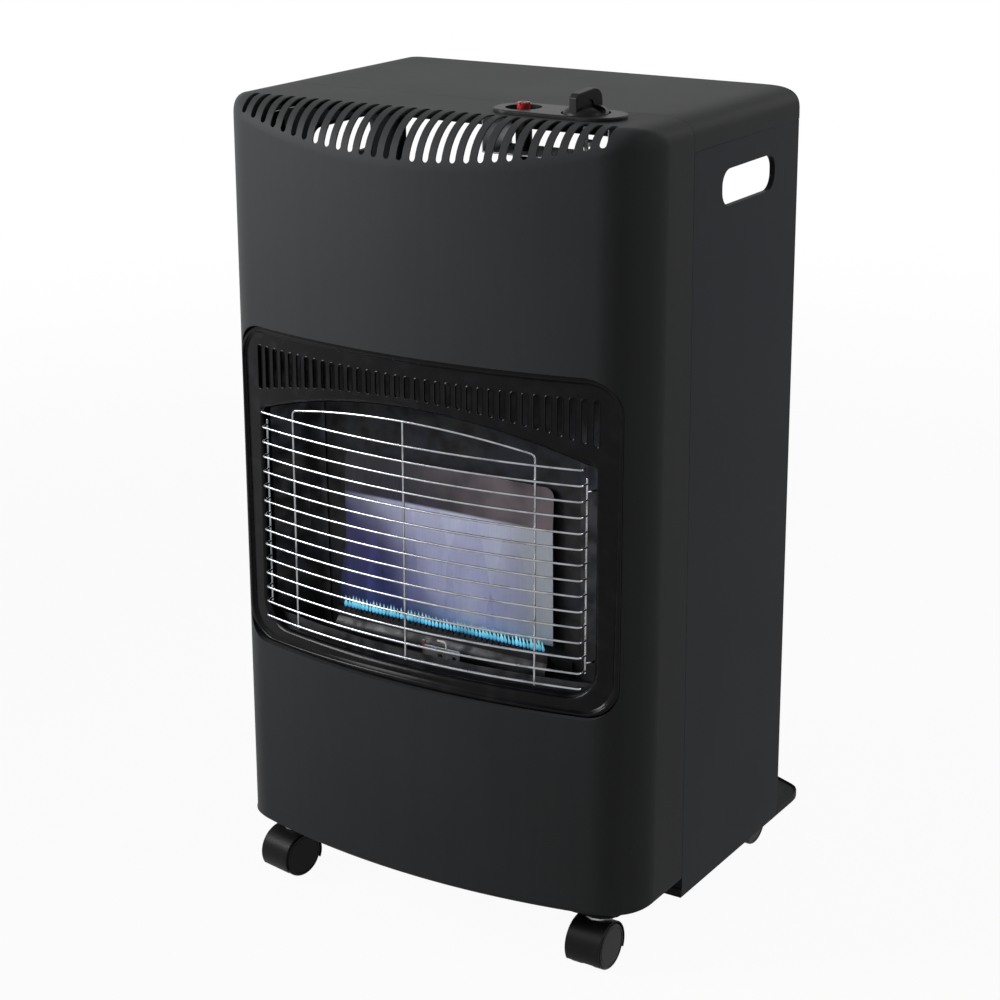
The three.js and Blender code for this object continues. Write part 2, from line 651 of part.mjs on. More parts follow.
// Cuts one outlet slot across the shoulder, square to its slope.
function slotCutter(x) {
  const share = (x / (SLOT_PITCH * ((SLOT_COUNT - 1) / 2))) ** 2;
  const lowerZ = HEIGHT - THREE.MathUtils.lerp(SLOT_DROP_MIDDLE, SLOT_DROP_END, share);
  const upper = point(x, -SLOT_UPPER_END, HEIGHT);
  const lower = point(x, shoulderY(x, lowerZ), lowerZ);
  const along = point(0, -1, -1).normalize();
  const inwards = point(0, 1, -1).normalize();
  const length = lower.clone().sub(upper).dot(along);
  const outline = stadium(-SLOT_WIDTH / 2, SLOT_WIDTH / 2, 0, length);
  const geometry = new THREE.ExtrudeGeometry(outline, {
    depth: 2 * SLOT_REACH,
    bevelEnabled: false,
  });
  const turn = new THREE.Matrix4().makeBasis(point(1, 0, 0), along, inwards);
  turn.setPosition(upper.addScaledVector(inwards, -SLOT_REACH));
  return solid(geometry.applyMatrix4(turn));
}

// A slot's outline with round ends, at its lower and upper y.
function stadium(x0, x1, y0, y1) {
  const radius = (x1 - x0) / 2;
  const end = (y, from) =>
    Array.from({ length: SLOT_END_STEPS + 1 }, (_, i) => {
      const turn = from + (i * Math.PI) / SLOT_END_STEPS;
      return [(x0 + x1) / 2 + radius * Math.cos(turn), y + radius * Math.sin(turn)];
    });
  return pointsToShape([...end(y0 + radius, Math.PI), ...end(y1 - radius, 0)]);
}

// An even row of places, centred on zero.
const row = (count, pitch) => Array.from({ length: count }, (_, i) => (i - (count - 1) / 2) * pitch);

function frontShell() {
  const window = push(pointsToShape(windowOutline(OPENING)), "y", -2 * FRONT_DEPTH, -WINDOW_FLANGE);
  const slots = row(SLOT_COUNT, SLOT_PITCH).map(slotCutter);
  const cupHole = (x, radius) =>
    rod("z", [x, CONTROLS_Y], HEIGHT - TOP_FLAT / 2, HEIGHT + SHEET, radius + CUP_WALL + FIT);
  const cupHoles = [cupHole(KNOB_X, KNOB_CUP_RADIUS), cupHole(BUTTON_X, BUTTON_CUP_RADIUS)];
  const open = cutBy(pressedPan(), window, ...cupHoles, ...slots);
  return joined(open, windowFlange());
}
place("front_shell", frontShell(), FINISH.charcoal);

// ---------------------------------------------------------------- window surround
// Depth behind the shell's bow of each point across the surround's front. The first run is measured from
// its outer edge and the second from the edge of the fire opening.
const SURROUND_RISE = SURROUND_SET_BACK - SURROUND_BEAD;
const SURROUND_OUTER = [
  [0, SURROUND_SET_BACK + SURROUND_SKIRT],
  [0, SURROUND_RISE + 1.5],
  [3, SURROUND_RISE],
  [7.5, SURROUND_SET_BACK],
];
const SURROUND_INNER = [
  [6, SURROUND_SET_BACK],
  [0, SURROUND_SET_BACK + 5],
  [0, SURROUND_SET_BACK + SURROUND_LIP],
];

function windowSurround() {
  const outer = windowOutline(OPENING, -FIT);
  const inner = windowOutline(FIRE_OPENING);
  const loopAt = (across, depth, fromInner) =>
    outer.map(([ox, oz], i) => {
      const [ix, iz] = inner[i];
      const span = Math.hypot(ix - ox, iz - oz);
      const share = fromInner ? 1 - across / span : across / span;
      const x = THREE.MathUtils.lerp(ox, ix, share);
      const z = THREE.MathUtils.lerp(oz, iz, share);
      return point(x, frontY(x, z) + depth, z);
    });
  // The back of the sheet, with the same bends a thickness further in.
  const back = SHEET;
  const outerBack = SURROUND_OUTER.map(([across, depth], i) => [
    Math.max(across, back),
    i === 0 ? depth : Math.max(depth, SURROUND_RISE) + back,
  ]);
  const innerBack = SURROUND_INNER.map(([across, depth], i) => [
    Math.max(across, back),
    i === SURROUND_INNER.length - 1 ? depth : depth + back,
  ]);
  const loops = [
    ...SURROUND_OUTER.map(([across, depth]) => loopAt(across, depth, false)),
    ...SURROUND_INNER.map(([across, depth]) => loopAt(across, depth, true)),
    ...innerBack.reverse().map(([across, depth]) => loopAt(across, depth, true)),
    ...outerBack.reverse().map(([across, depth]) => loopAt(across, depth, false)),
  ];
  const vents = row(VENT_COUNT, VENT_PITCH).map((x) => {
    const share = (x / ((VENT_PITCH * (VENT_COUNT - 1)) / 2)) ** 2;
    const length = THREE.MathUtils.lerp(VENT_LENGTH_MIDDLE, VENT_LENGTH_END, share);
    const outline = stadium(x - VENT_WIDTH / 2, x + VENT_WIDTH / 2, VENT_TOP - length, VENT_TOP);
    const face = frontY(x, VENT_TOP) + SURROUND_SET_BACK;
    return push(outline, "y", face - 2 * SURROUND_BEAD, face + 2 * SURROUND_BEAD);
  });
  return cutBy(ringOf(loops), ...vents);
}
place("window_surround", windowSurround(), FINISH.glossBlack);

// ---------------------------------------------------------------- wire guard
// Points across the bow at a height, so that a wire lies on the shell's line.
function acrossBow(z, halfWidth, depth, steps = 6) {
  return Array.from({ length: steps + 1 }, (_, i) => {
    const x = THREE.MathUtils.mapLinear(i, 0, steps, -halfWidth, halfWidth);
    return point(x, frontY(x, z) + depth, z);
  });
}

function wireGuard() {
  const weld = 0.8 * WIRE; // crossing wires are pressed into each other
  const heights = Array.from({ length: GUARD_WIRES }, (_, i) => GUARD_TOP_WIRE - i * GUARD_PITCH);
  const lowest = heights[GUARD_WIRES - 1];
  const hookEnd = FIRE_HALF_WIDTH - FIT - WIRE / 2;
  const at = (x, depth, z) => point(x, frontY(x, z) + depth, z);

  // Each wire's ends turn back to the upright rods, but less at the first and last, which stop short.
  const across = heights.map((z, i) => {
    const outermost = i === 0 || i === GUARD_WIRES - 1;
    const back = outermost ? GUARD_RETURN / 2 : GUARD_RETURN;
    const middle = acrossBow(z, GUARD_HALF_WIDTH, 0).slice(1, -1);
    const end = (side, next) =>
      bend([at(side, back, z), at(side, 0, z), next], GUARD_BEND, 1).slice(0, -1);
    return wire([
      ...end(-GUARD_HALF_WIDTH, middle[0]),
      ...middle,
      ...end(GUARD_HALF_WIDTH, middle[middle.length - 1]).reverse(),
    ]);
  });

  const rods = [-1, 1].flatMap((side) => {
    const x = side * GUARD_HALF_WIDTH;
    const rodTop = heights[1] + 2 * WIRE;
    const rodFoot = heights[GUARD_WIRES - 2] - WIRE;
    const hook = (z) =>
      wire([at(x, GUARD_RETURN, z), at(side * hookEnd, GUARD_HOOK_DEPTH, z)]);
    return [
      wire([at(x, GUARD_RETURN, rodFoot), at(x, GUARD_RETURN, rodTop)]),
      hook(heights[1] - GUARD_PITCH / 2),
      hook(heights[GUARD_WIRES - 2] + GUARD_PITCH / 2),
    ];
  });

  const archSteps = [-0.75, -0.5, -0.25, 0, 0.25, 0.5, 0.75];
  const arch = archSteps.map((share) =>
    at(share * HOOP_HALF_WIDTH, weld, HOOP_CROWN - (HOOP_CROWN - HOOP_SHOULDER) * share ** 2),
  );
  const leg = (x, next) =>
    bend([at(x, weld, lowest - WIRE), at(x, weld, HOOP_SHOULDER), next], HOOP_BEND).slice(0, -1);
  const hoop = wire([
    ...leg(-HOOP_HALF_WIDTH, arch[0]),
    ...arch,
    ...leg(HOOP_HALF_WIDTH, arch[arch.length - 1]).reverse(),
  ]);
  const middle = wire([at(0, weld, lowest - WIRE), at(0, weld, HOOP_CROWN)]);
  return joined(across, rods, hoop, middle);
}
place("wire_guard", wireGuard(), FINISH.chrome);

// ---------------------------------------------------------------- cabinet
const panelTop = HEIGHT - TOP_SKIRT - FIT;
const panelInside = WIDTH / 2 - SHEET;
const panTop = PAN_BOTTOM + PAN_RIM;
const panFloor = PAN_BOTTOM + PAN_FLOOR;

// One side panel, its front and rear edges folded in, with a handle hole whose edge is turned in.
function sidePanel() {
  const outside = WIDTH / 2;
  const rear = CABINET_DEPTH - FIT;
  const folds = foldedSheet([
    [outside - SIDE_FRONT_RETURN, FIT],
    [outside, FIT],
    [outside, rear],
    [outside - SIDE_REAR_RETURN, rear],
  ]);
  const handle = (margin) =>
    roundedRectangle(
      HANDLE_FRONT - margin,
      HANDLE_FRONT + HANDLE_LENGTH + margin,
      HANDLE_BOTTOM - margin,
      HANDLE_BOTTOM + HANDLE_HEIGHT + margin,
      HANDLE_CORNER + margin,
    );
  const hole = push(handle(0), "x", outside - 2 * HANDLE_FLANGE, outside + SHEET);
  const edge = push(handle(SHEET), "x", outside - HANDLE_FLANGE - SHEET, outside);
  const foot = box(panelInside, outside, FIT, rear, PAN_BOTTOM, panTop + SHEET);
  return cutBy(joined(push(folds, "z", panTop + FIT, panelTop), edge, foot), hole);
}
place("right_side_panel", sidePanel(), FINISH.sidePaint);
place("left_side_panel", mirrored(sidePanel()), FINISH.sidePaint);

// A closed outline moved inwards, for a counter-clockwise run of points.
function insetOutline(points, distance) {
  const closed = points.map(([x, y]) => new THREE.Vector2(x, y));
  const count = closed.length;
  const leftOf = (a, b) => {
    const along = b.clone().sub(a).normalize();
    return new THREE.Vector2(-along.y, along.x);
  };
  return closed.map((corner, i) => {
    const mitre = leftOf(closed[(i + count - 1) % count], corner);
    mitre.add(leftOf(corner, closed[(i + 1) % count]));
    const moved = corner.clone().addScaledVector(mitre, (2 * distance) / mitre.lengthSq());
    return [moved.x, moved.y];
  });
}

// The outline of the cabinet's top, from the right skirt's foot over to the left one.
function topLine() {
  const radius = shoulderRadius(FLAT_X);
  const corner = Array.from({ length: CORNER_STEPS + 1 }, (_, i) => {
    const turn = ((i / CORNER_STEPS) * Math.PI) / 2;
    const across = i === CORNER_STEPS ? 0 : Math.cos(turn) ** (2 / TOP_CORNER_POWER);
    const up = Math.sin(turn) ** (2 / TOP_CORNER_POWER);
    return [FLAT_X + SIDE_ROUNDING * across, HEIGHT - radius + radius * up];
  });
  const right = [[WIDTH / 2, HEIGHT - TOP_SKIRT], ...corner];
  return [...right, ...right.slice().reverse().map(([x, z]) => [-x, z])];
}

function topPanel() {
  const closed = pointsToShape(insetOutline(topLine(), SHEET / 2));
  const flange = (drop, from) =>
    cutBy(
      push(closed, "y", from, from + SHEET),
      box(-WIDTH, WIDTH, from - SHEET, from + 2 * SHEET, 0, HEIGHT - drop),
    );
  return joined(
    push(foldedSheet(topLine()), "y", FIT, CABINET_DEPTH),
    flange(TOP_FRONT_FLANGE, FIT),
    flange(TOP_REAR_FLANGE, CABINET_DEPTH - SHEET),
  );
}
place("top_panel", topPanel(), FINISH.charcoal);

// The pan's outline: a tongue under the shell, a straight run between the side panels and a bowed rear edge,
// with or without the narrow ends that close the side panels' front edges.
function panOutline(withEnds) {
  const between = panelInside - FIT;
  const rearCentre = PAN_REAR - PAN_REAR_RADIUS;
  const rearEdge = (x) => rearCentre + Math.sqrt(PAN_REAR_RADIUS ** 2 - x ** 2);
  const outside = WIDTH / 2;
  const rearX = outside - PAN_REAR_CORNER / 2;
  const corner = new THREE.QuadraticBezierCurve(
    new THREE.Vector2(outside, rearEdge(rearX) - PAN_REAR_CORNER),
    new THREE.Vector2(outside, rearEdge(outside)),
    new THREE.Vector2(rearX, rearEdge(rearX)),
  );
  const tongue = new THREE.EllipseCurve(
    TONGUE_HALF_WIDTH - TONGUE_CORNER,
    TONGUE_CORNER - TONGUE_DEPTH,
    TONGUE_CORNER,
    TONGUE_CORNER,
    -Math.PI / 2,
    0,
  );
  const bow = Array.from({ length: FRONT_STEPS - 1 }, (_, i) => {
    const x = rearX * (1 - (i + 1) / FRONT_STEPS);
    return [x, rearEdge(x)];
  });
  const ends = [
    [TONGUE_HALF_WIDTH, -PAN_FRONT_LIP],
    [outside, -PAN_FRONT_LIP],
    [outside, 0],
  ];
  const right = [
    ...tongue.getPoints(CORNER_STEPS).map(({ x, y }) => [x, y]),
    ...(withEnds ? ends : [[TONGUE_HALF_WIDTH, 0]]),
    [between, 0],
    [between, CABINET_DEPTH],
    [outside, CABINET_DEPTH],
    ...corner.getPoints(CORNER_STEPS).map(({ x, y }) => [x, y]),
    ...bow,
  ];
  return [...right, [0, PAN_REAR], ...right.slice().reverse().map(([x, y]) => [-x, y])];
}

function basePan() {
  const outline = pointsToShape(panOutline(true));
  const inside = pointsToShape(insetOutline(panOutline(false), SHEET));
  const pan = joined(
    cutBy(push(outline, "z", PAN_BOTTOM, panTop), push(inside, "z", 0, HEIGHT)),
    push(outline, "z", panFloor, panFloor + SHEET),
  );
  const pad = (margin) =>
    roundedRectangle(
      margin - BOTTLE_PAD_HALF_WIDTH,
      BOTTLE_PAD_HALF_WIDTH - margin,
      BOTTLE_PAD_FRONT + margin,
      PAN_REAR - BOTTLE_PAD_REAR_MARGIN - margin,
      BOTTLE_PAD_CORNER - margin,
    );
  const raised = push(pad(0), "z", panFloor + SHEET / 2, panFloor + SHEET + BOTTLE_PAD_RISE, 3);
  const hollow = push(pad(SHEET), "z", PAN_BOTTOM, panFloor + BOTTLE_PAD_RISE, 3);
  const underTongue = box(-WIDTH, WIDTH, -FRONT_DEPTH, -PAN_FRONT_LIP, 0, panFloor);
  return cutBy(joined(pan, raised), hollow, underTongue);
}
place("base_pan", basePan(), FINISH.charcoal);

// The sheet between the fire and the bottle bay, flanged back at its sides and top.
const dividerFront = 2 * FIT + SHEET;
const supplyHeight = DIVIDER_TOP - DIVIDER_FLANGE;
function dividerPanel() {
  const half = panelInside - FIT - SHEET - FIT;
  const folds = foldedSheet([
    [-half, dividerFront + DIVIDER_FLANGE],
    [-half, dividerFront],
    [half, dividerFront],
    [half, dividerFront + DIVIDER_FLANGE],
  ]);
  const bottom = panFloor + SHEET + FIT;
  const topFlange = box(
    -half,
    half,
    dividerFront,
    dividerFront + DIVIDER_FLANGE,
    DIVIDER_TOP - SHEET,
    DIVIDER_TOP,
  );
  const pipeHole = rod("y", [KNOB_X, supplyHeight], 0, 2 * dividerFront, SUPPLY_RADIUS + FIT, 8);
  return cutBy(joined(push(folds, "z", bottom, DIVIDER_TOP), topFlange), pipeHole);
}
place("divider_panel", dividerPanel(), FINISH.galvanised);

// ---------------------------------------------------------------- fire box
const lipDepth = SURROUND_SET_BACK + SURROUND_LIP;
const onShield = -SHIELD_FRONT - FIT; // rear face of sheets that lie on the heat shield
const trayTop = TRAY_BOTTOM + SHEET;
const TRAY_HALF_WIDTH = FIRE_HALF_WIDTH + TRAY_OVERHANG;

function heatShield() {
  return box(
    -SHIELD_HALF_WIDTH,
    SHIELD_HALF_WIDTH,
    -SHIELD_FRONT,
    -SHIELD_FRONT + SHEET,
    TRAY_BOTTOM - SHEET,
    SHIELD_TOP,
  );
}
place("heat_shield", heatShield(), FINISH.galvanised);

// The tray under the burner: its front edge follows the bow and turns up, its rear edge turns up too.
function floorTray() {
  const front = (half, depth) => acrossBow(FIRE_BOTTOM, half, depth).map(({ x, y }) => [x, y]);
  const edge = lipDepth + TRAY_FRONT_GAP;
  const floor = [
    ...front(TRAY_HALF_WIDTH, edge),
    [TRAY_HALF_WIDTH, onShield],
    [-TRAY_HALF_WIDTH, onShield],
  ];
  const lipHalf = FIRE_HALF_WIDTH - 2 * SHEET;
  const lip = [...front(lipHalf, edge), ...front(lipHalf, edge + SHEET).reverse()];
  const rearHalf = REFLECTOR_HALF_WIDTH + TRAY_LIP;
  const holes = [
    rod("z", [BURNER_INLET_X, -BURNER_LINE], 0, HEIGHT, BURNER_INLET_RADIUS + FIT, 8),
    rod("z", [PILOT_X, -PILOT_LINE], 0, HEIGHT, PILOT_RADIUS + FIT, 6),
    rod("z", [PROBE_X, -PILOT_LINE], 0, HEIGHT, PROBE_RADIUS + FIT, 4),
  ];
  return cutBy(
    joined(
      push(pointsToShape(floor), "z", TRAY_BOTTOM, trayTop),
      push(pointsToShape(lip), "z", TRAY_BOTTOM, TRAY_BOTTOM + TRAY_LIP),
      box(-rearHalf, rearHalf, onShield - SHEET, onShield, TRAY_BOTTOM, TRAY_BOTTOM + TRAY_LIP),
    ),
    ...holes,
  );
}
place("floor_tray", floorTray(), FINISH.sooty);

// A splayed side wall, from a foot on the heat shield to the surround's lip.
function sideWall() {
  const front = frontY(FIRE_HALF_WIDTH + 2 * SHEET, FIRE_CROWN) + lipDepth + FIT;
  const foot = onShield - SHEET;
  const line = [
    [SHIELD_HALF_WIDTH - WALL_FOOT, foot],
    [SHIELD_HALF_WIDTH, foot],
    [FIRE_HALF_WIDTH + SHEET, front],
    [FIRE_HALF_WIDTH + WALL_EDGE, front],
  ];
  return push(foldedSheet(line), "z", trayTop + FIT, WALL_TOP);
}
place("right_fire_wall", sideWall(), FINISH.sooty);
place("left_fire_wall", mirrored(sideWall()), FINISH.sooty);

// The curved sheet that throws the hot air forward to the slots.
function hood() {
  const foot = WALL_TOP + WALL_FOOT / 2;
  const curve = new THREE.QuadraticBezierCurve(
    new THREE.Vector2(onShield, SHIELD_TOP - FIT),
    new THREE.Vector2(onShield, SHIELD_TOP + HOOD_REACH),
    new THREE.Vector2(onShield - HOOD_REACH, SHIELD_TOP + HOOD_REACH + WALL_EDGE),
  );
  const line = [[onShield, foot], ...curve.getPoints(CORNER_STEPS).map(({ x, y }) => [x, y])];
  return push(foldedSheet(line), "x", -SHIELD_HALF_WIDTH, SHIELD_HALF_WIDTH);
}
place("fire_hood", hood(), FINISH.galvanised);

// A bracket of Z section that stands the heat shield off the divider.
function shieldBracket() {
  const behind = -SHIELD_FRONT + SHEET + FIT;
  const line = [
    [BRACKET_X - WALL_FOOT, behind],
    [BRACKET_X, behind],
    [BRACKET_X, dividerFront - FIT - SHEET],
    [BRACKET_X + WALL_FOOT, dividerFront - FIT - SHEET],
  ];
  return push(foldedSheet(line), "z", REFLECTOR_BOTTOM, WALL_TOP);
}
place("right_shield_bracket", shieldBracket(), FINISH.galvanised);
place("left_shield_bracket", mirrored(shieldBracket()), FINISH.galvanised);

// The bright panel behind the flames: it leans back above a fold, and its foot runs to the heat shield.
function reflector() {
  const face = -REFLECTOR_FRONT;
  const line = [
    [face + REFLECTOR_LEAN, REFLECTOR_TOP],
    [face, REFLECTOR_FOLD],
    [face, REFLECTOR_BOTTOM],
    [onShield, REFLECTOR_BOTTOM],
  ];
  const half = REFLECTOR_HALF_WIDTH;
  const seen = new THREE.Shape();
  seen.moveTo(-half, 0);
  seen.lineTo(half, 0);
  seen.lineTo(half, REFLECTOR_TOP - REFLECTOR_CORNER);
  const cornerX = half - REFLECTOR_CORNER;
  const cornerZ = REFLECTOR_TOP - REFLECTOR_CORNER;
  seen.absarc(cornerX, cornerZ, REFLECTOR_CORNER, 0, Math.PI / 2);
  seen.absarc(-cornerX, cornerZ, REFLECTOR_CORNER, Math.PI / 2, Math.PI);
  const panel = push(foldedSheet(line), "x", -half, half);
  return panel.intersect(push(seen, "y", -FRONT_DEPTH, 0));
}
place("reflector", reflector(), FINISH.reflector);

const inletEnd = TRAY_BOTTOM - BURNER_INLET_DROP;

// The burner: a pressed tube with a slotted neck, fed from below at its right end.
function burner() {
  const centre = trayTop + FIT + BURNER_BODY_RADIUS;
  const half = BURNER_NECK / 2;
  const open = Math.asin(half / BURNER_BODY_RADIUS);
  const section = new THREE.Shape();
  section.moveTo(half - BURNER_LINE, BURNER_TOP);
  section.absarc(-BURNER_LINE, centre, BURNER_BODY_RADIUS, Math.PI / 2 - open, Math.PI / 2 + open, true);
  section.lineTo(-half - BURNER_LINE, BURNER_TOP);
  const body = push(section, "x", -BURNER_HALF_LENGTH, BURNER_HALF_LENGTH);
  const inletAt = [BURNER_INLET_X, -BURNER_LINE];
  const inlet = rod("z", inletAt, inletEnd, centre, BURNER_INLET_RADIUS, 8);
  const bore = rod("z", inletAt, inletEnd - 1, TRAY_BOTTOM, BURNER_INLET_RADIUS - SHEET, 8);
  const ports = row(PORT_COUNT, PORT_PITCH).map((x) =>
    box(
      x - PORT_WIDTH / 2,
      x + PORT_WIDTH / 2,
      -BURNER_LINE - BURNER_NECK,
      -BURNER_LINE + BURNER_NECK,
      BURNER_TOP - PORT_DEPTH,
      BURNER_TOP + PORT_DEPTH,
    ),
  );
  return cutBy(joined(body, inlet), bore, ...ports);
}
place("burner", burner(), FINISH.sooty);

// The jet that feeds the burner's inlet.
const jetFoot = inletEnd - JET_LENGTH;
function burnerJet() {
  const flange = BURNER_INLET_RADIUS;
  return turned(
    [
      [0, jetFoot],
      [PIPE_RADIUS + SHEET, jetFoot],
      [PIPE_RADIUS + SHEET, inletEnd - FIT - PIPE_RADIUS],
      [flange, inletEnd - FIT - PIPE_RADIUS],
      [flange, inletEnd - FIT],
      [SHEET, inletEnd - FIT],
      [SHEET, inletEnd + PIPE_RADIUS],
      [0, inletEnd + PIPE_RADIUS],
    ],
    [BURNER_INLET_X, -BURNER_LINE, 0],
    "z",
    10,
  );
}
place("burner_jet", burnerJet(), FINISH.brass);

// ---------------------------------------------------------------- pilot flame assembly
const pilotFoot = TRAY_BOTTOM - PILOT_RADIUS;

// An upright plate with a folded foot on the tray, drilled along its length.
function pilotPlate() {
  const left = PILOT_X - PILOT_PLATE_LENGTH / 4;
  const face = -PILOT_LINE - PILOT_RADIUS - SHEET - 2 * FIT;
  const onTray = trayTop + FIT;
  const line = [
    [face, PILOT_PLATE_TOP],
    [face, onTray],
    [1 - PILOT_LINE + PILOT_RADIUS, onTray],
  ];
  const holes = [1, 2, 3].map((i) =>
    rod(
      "y",
      [PILOT_X + (i * PILOT_PLATE_LENGTH) / 5, (PILOT_PLATE_TOP + onTray + SHEET) / 2],
      face - SHEET,
      face + 2 * SHEET,
      PLATE_HOLE,
      5,
    ),
  );
  const through = rod("z", [PILOT_X, -PILOT_LINE], 0, HEIGHT, PILOT_RADIUS + FIT, 8);
  return cutBy(push(foldedSheet(line), "x", left, left + PILOT_PLATE_LENGTH), through, ...holes);
}
place("pilot_plate", pilotPlate(), FINISH.galvanised);

place(
  "pilot_burner",
  rod("z", [PILOT_X, -PILOT_LINE], pilotFoot, PILOT_TOP, PILOT_RADIUS, 6),
  FINISH.brass,
);
place(
  "thermocouple",
  rod("z", [PROBE_X, -PILOT_LINE], TRAY_BOTTOM - WALL_FOOT, PILOT_PLATE_TOP + PROBE_RADIUS, PROBE_RADIUS, 4),
  FINISH.copper,
);

// The spark electrode: a ceramic post on the plate's foot, its wire bent over to the pilot.
function sparkElectrode() {
  const x = PILOT_X + 2 * PILOT_RADIUS + SPARK_POST;
  const y = -PILOT_LINE + SHEET;
  const foot = trayTop + SHEET + 2 * FIT;
  const post = rod("z", [x, y], foot, PILOT_TOP, SPARK_POST, 5);
  const tip = PILOT_PLATE_TOP + 2 * SPARK_WIRE;
  const bentWire = bend([point(x, y, PILOT_TOP - SPARK_WIRE), point(x, y, tip), point(PILOT_X, y, tip)], 2);
  return joined(post, wire(bentWire, SPARK_WIRE / 2));
}
place("spark_electrode", sparkElectrode(), FINISH.ceramic);

// ---------------------------------------------------------------- gas valve, igniter and pipes
const shellUnderside = HEIGHT - SHEET;
const bracketTop = shellUnderside - BRACKET_DROP;
const valveTop = bracketTop - SHEET - FIT;
const valveFoot = valveTop - VALVE_BODY_HEIGHT;
const neckTop = bracketTop + COLLAR_HEIGHT;
const cupFloor = HEIGHT + FIT + BEZEL_THICKNESS - CUP_DEPTH;

// A tray of sheet hung under the shell's top that carries the valve and the igniter.
function controlsBracket() {
  const feet = shellUnderside - FIT - SHEET;
  const [left, right] = [BEZEL_LEFT - SHEET, BEZEL_RIGHT - SHEET];
  const folds = foldedSheet([
    [left - WALL_FOOT / 2, feet],
    [left, feet],
    [left, bracketTop - SHEET],
    [right, bracketTop - SHEET],
    [right, feet],
    [right + WALL_FOOT / 2, feet],
  ]);
  const [front, back] = [CONTROLS_Y - BEZEL_HALF_DEPTH, CONTROLS_Y + BEZEL_HALF_DEPTH];
  const holeAt = (x, radius) => rod("z", [x, CONTROLS_Y], valveTop, neckTop, radius + FIT, 8);
  return cutBy(
    push(folds, "y", front, back),
    holeAt(KNOB_X, VALVE_NECK_RADIUS),
    holeAt(BUTTON_X, IGNITER_RADIUS),
  );
}
place("controls_bracket", controlsBracket(), FINISH.galvanised);

function gasValve() {
  const half = VALVE_BODY / 2;
  const block = push(
    roundedRectangle(KNOB_X - half, KNOB_X + half, CONTROLS_Y - half, CONTROLS_Y + half, PIPE_RADIUS),
    "z",
    valveFoot,
    valveTop,
    1,
  );
  const neck = rod("z", [KNOB_X, CONTROLS_Y], valveTop - SHEET, neckTop, VALVE_NECK_RADIUS, 8);
  const boreFoot = neckTop - 3 * PUSH_TRAVEL - 2 * SPINDLE_RADIUS;
  const bore = rod("z", [KNOB_X, CONTROLS_Y], boreFoot, neckTop + SHEET, SPINDLE_RADIUS + FIT, 8);
  return cutBy(joined(block, neck), bore);
}
place("gas_valve", gasValve(), FINISH.brass);

// The piezo igniter, its flange on the bracket and its mouth open for the button.
const igniterMouth = neckTop + 2 * BUTTON_TRAVEL;
const buttonFoot = igniterMouth - BUTTON_TRAVEL;
function igniter() {
  const mouth = BUTTON_RADIUS + FIT;
  return turned(
    [
      [0, igniterMouth - IGNITER_LENGTH],
      [IGNITER_RADIUS, igniterMouth - IGNITER_LENGTH],
      [IGNITER_RADIUS, bracketTop + FIT],
      [IGNITER_RADIUS + 2 * SHEET, bracketTop + FIT],
      [IGNITER_RADIUS + 2 * SHEET, bracketTop + 2 * SHEET],
      [IGNITER_RADIUS, bracketTop + 2 * SHEET],
      [IGNITER_RADIUS, igniterMouth],
      [mouth, igniterMouth],
      [mouth, buttonFoot - BUTTON_TRAVEL - FIT],
      [0, buttonFoot - BUTTON_TRAVEL - FIT],
    ],
    [BUTTON_X, CONTROLS_Y, 0],
    "z",
    10,
  );
}
place("igniter", igniter(), FINISH.blackPlastic);

// Bent pipes run down from the valve, under the tray, to the burner's jet and the pilot.
function pipe(corners, radius) {
  return wire(bend(corners.map((corner) => point(...corner)), PIPE_BEND), radius, 6);
}
const pipeTop = valveFoot - FIT;
const pipeRun = jetFoot - PIPE_DROP;
place(
  "burner_pipe",
  pipe(
    [
      [KNOB_X, CONTROLS_Y, pipeTop],
      [KNOB_X, CONTROLS_Y, pipeRun],
      [BURNER_INLET_X, -BURNER_LINE, pipeRun],
      [BURNER_INLET_X, -BURNER_LINE, jetFoot - FIT],
    ],
    PIPE_RADIUS,
  ),
  FINISH.copper,
);
const pilotPipeX = KNOB_X - PILOT_OUTLET_INSET;
place(
  "pilot_pipe",
  pipe(
    [
      [pilotPipeX, CONTROLS_Y + PIPE_RADIUS, pipeTop],
      [pilotPipeX, CONTROLS_Y + PIPE_RADIUS, pipeRun + 3 * PIPE_RADIUS],
      [PILOT_X, -PILOT_LINE, pipeRun + 3 * PIPE_RADIUS],
      [PILOT_X, -PILOT_LINE, pilotFoot - FIT],
    ],
    PILOT_PIPE_RADIUS,
  ),
  FINISH.copper,
);

const nozzleStart = DIVIDER_FLANGE + 2 * dividerFront;
place(
  "supply_pipe",
  rod("y", [KNOB_X, supplyHeight], CONTROLS_Y + VALVE_BODY / 2 + FIT, nozzleStart, SUPPLY_RADIUS, 4),
  FINISH.brass,
);

// The barbed nozzle in the bottle bay that takes the gas hose.
function hoseNozzle() {
  const start = nozzleStart + FIT;
  const barbs = [0, 1, 2].flatMap((i) => {
    const along = start + NUT_LENGTH + (i + 1) * BARB_PITCH;
    return [
      [SUPPLY_RADIUS - SHEET / 2, along],
      [SUPPLY_RADIUS + SHEET, along],
    ];
  });
  const end = start + NUT_LENGTH + 4 * BARB_PITCH;
  return turned(
    [
      [0, start],
      [NUT_RADIUS, start],
      [NUT_RADIUS, start + NUT_LENGTH],
      ...barbs,
      [SUPPLY_RADIUS - SHEET / 2, end],
      [0, end],
    ],
    [KNOB_X, 0, supplyHeight],
    "y",
    12,
  );
}
place("hose_nozzle", hoseNozzle(), FINISH.brass);

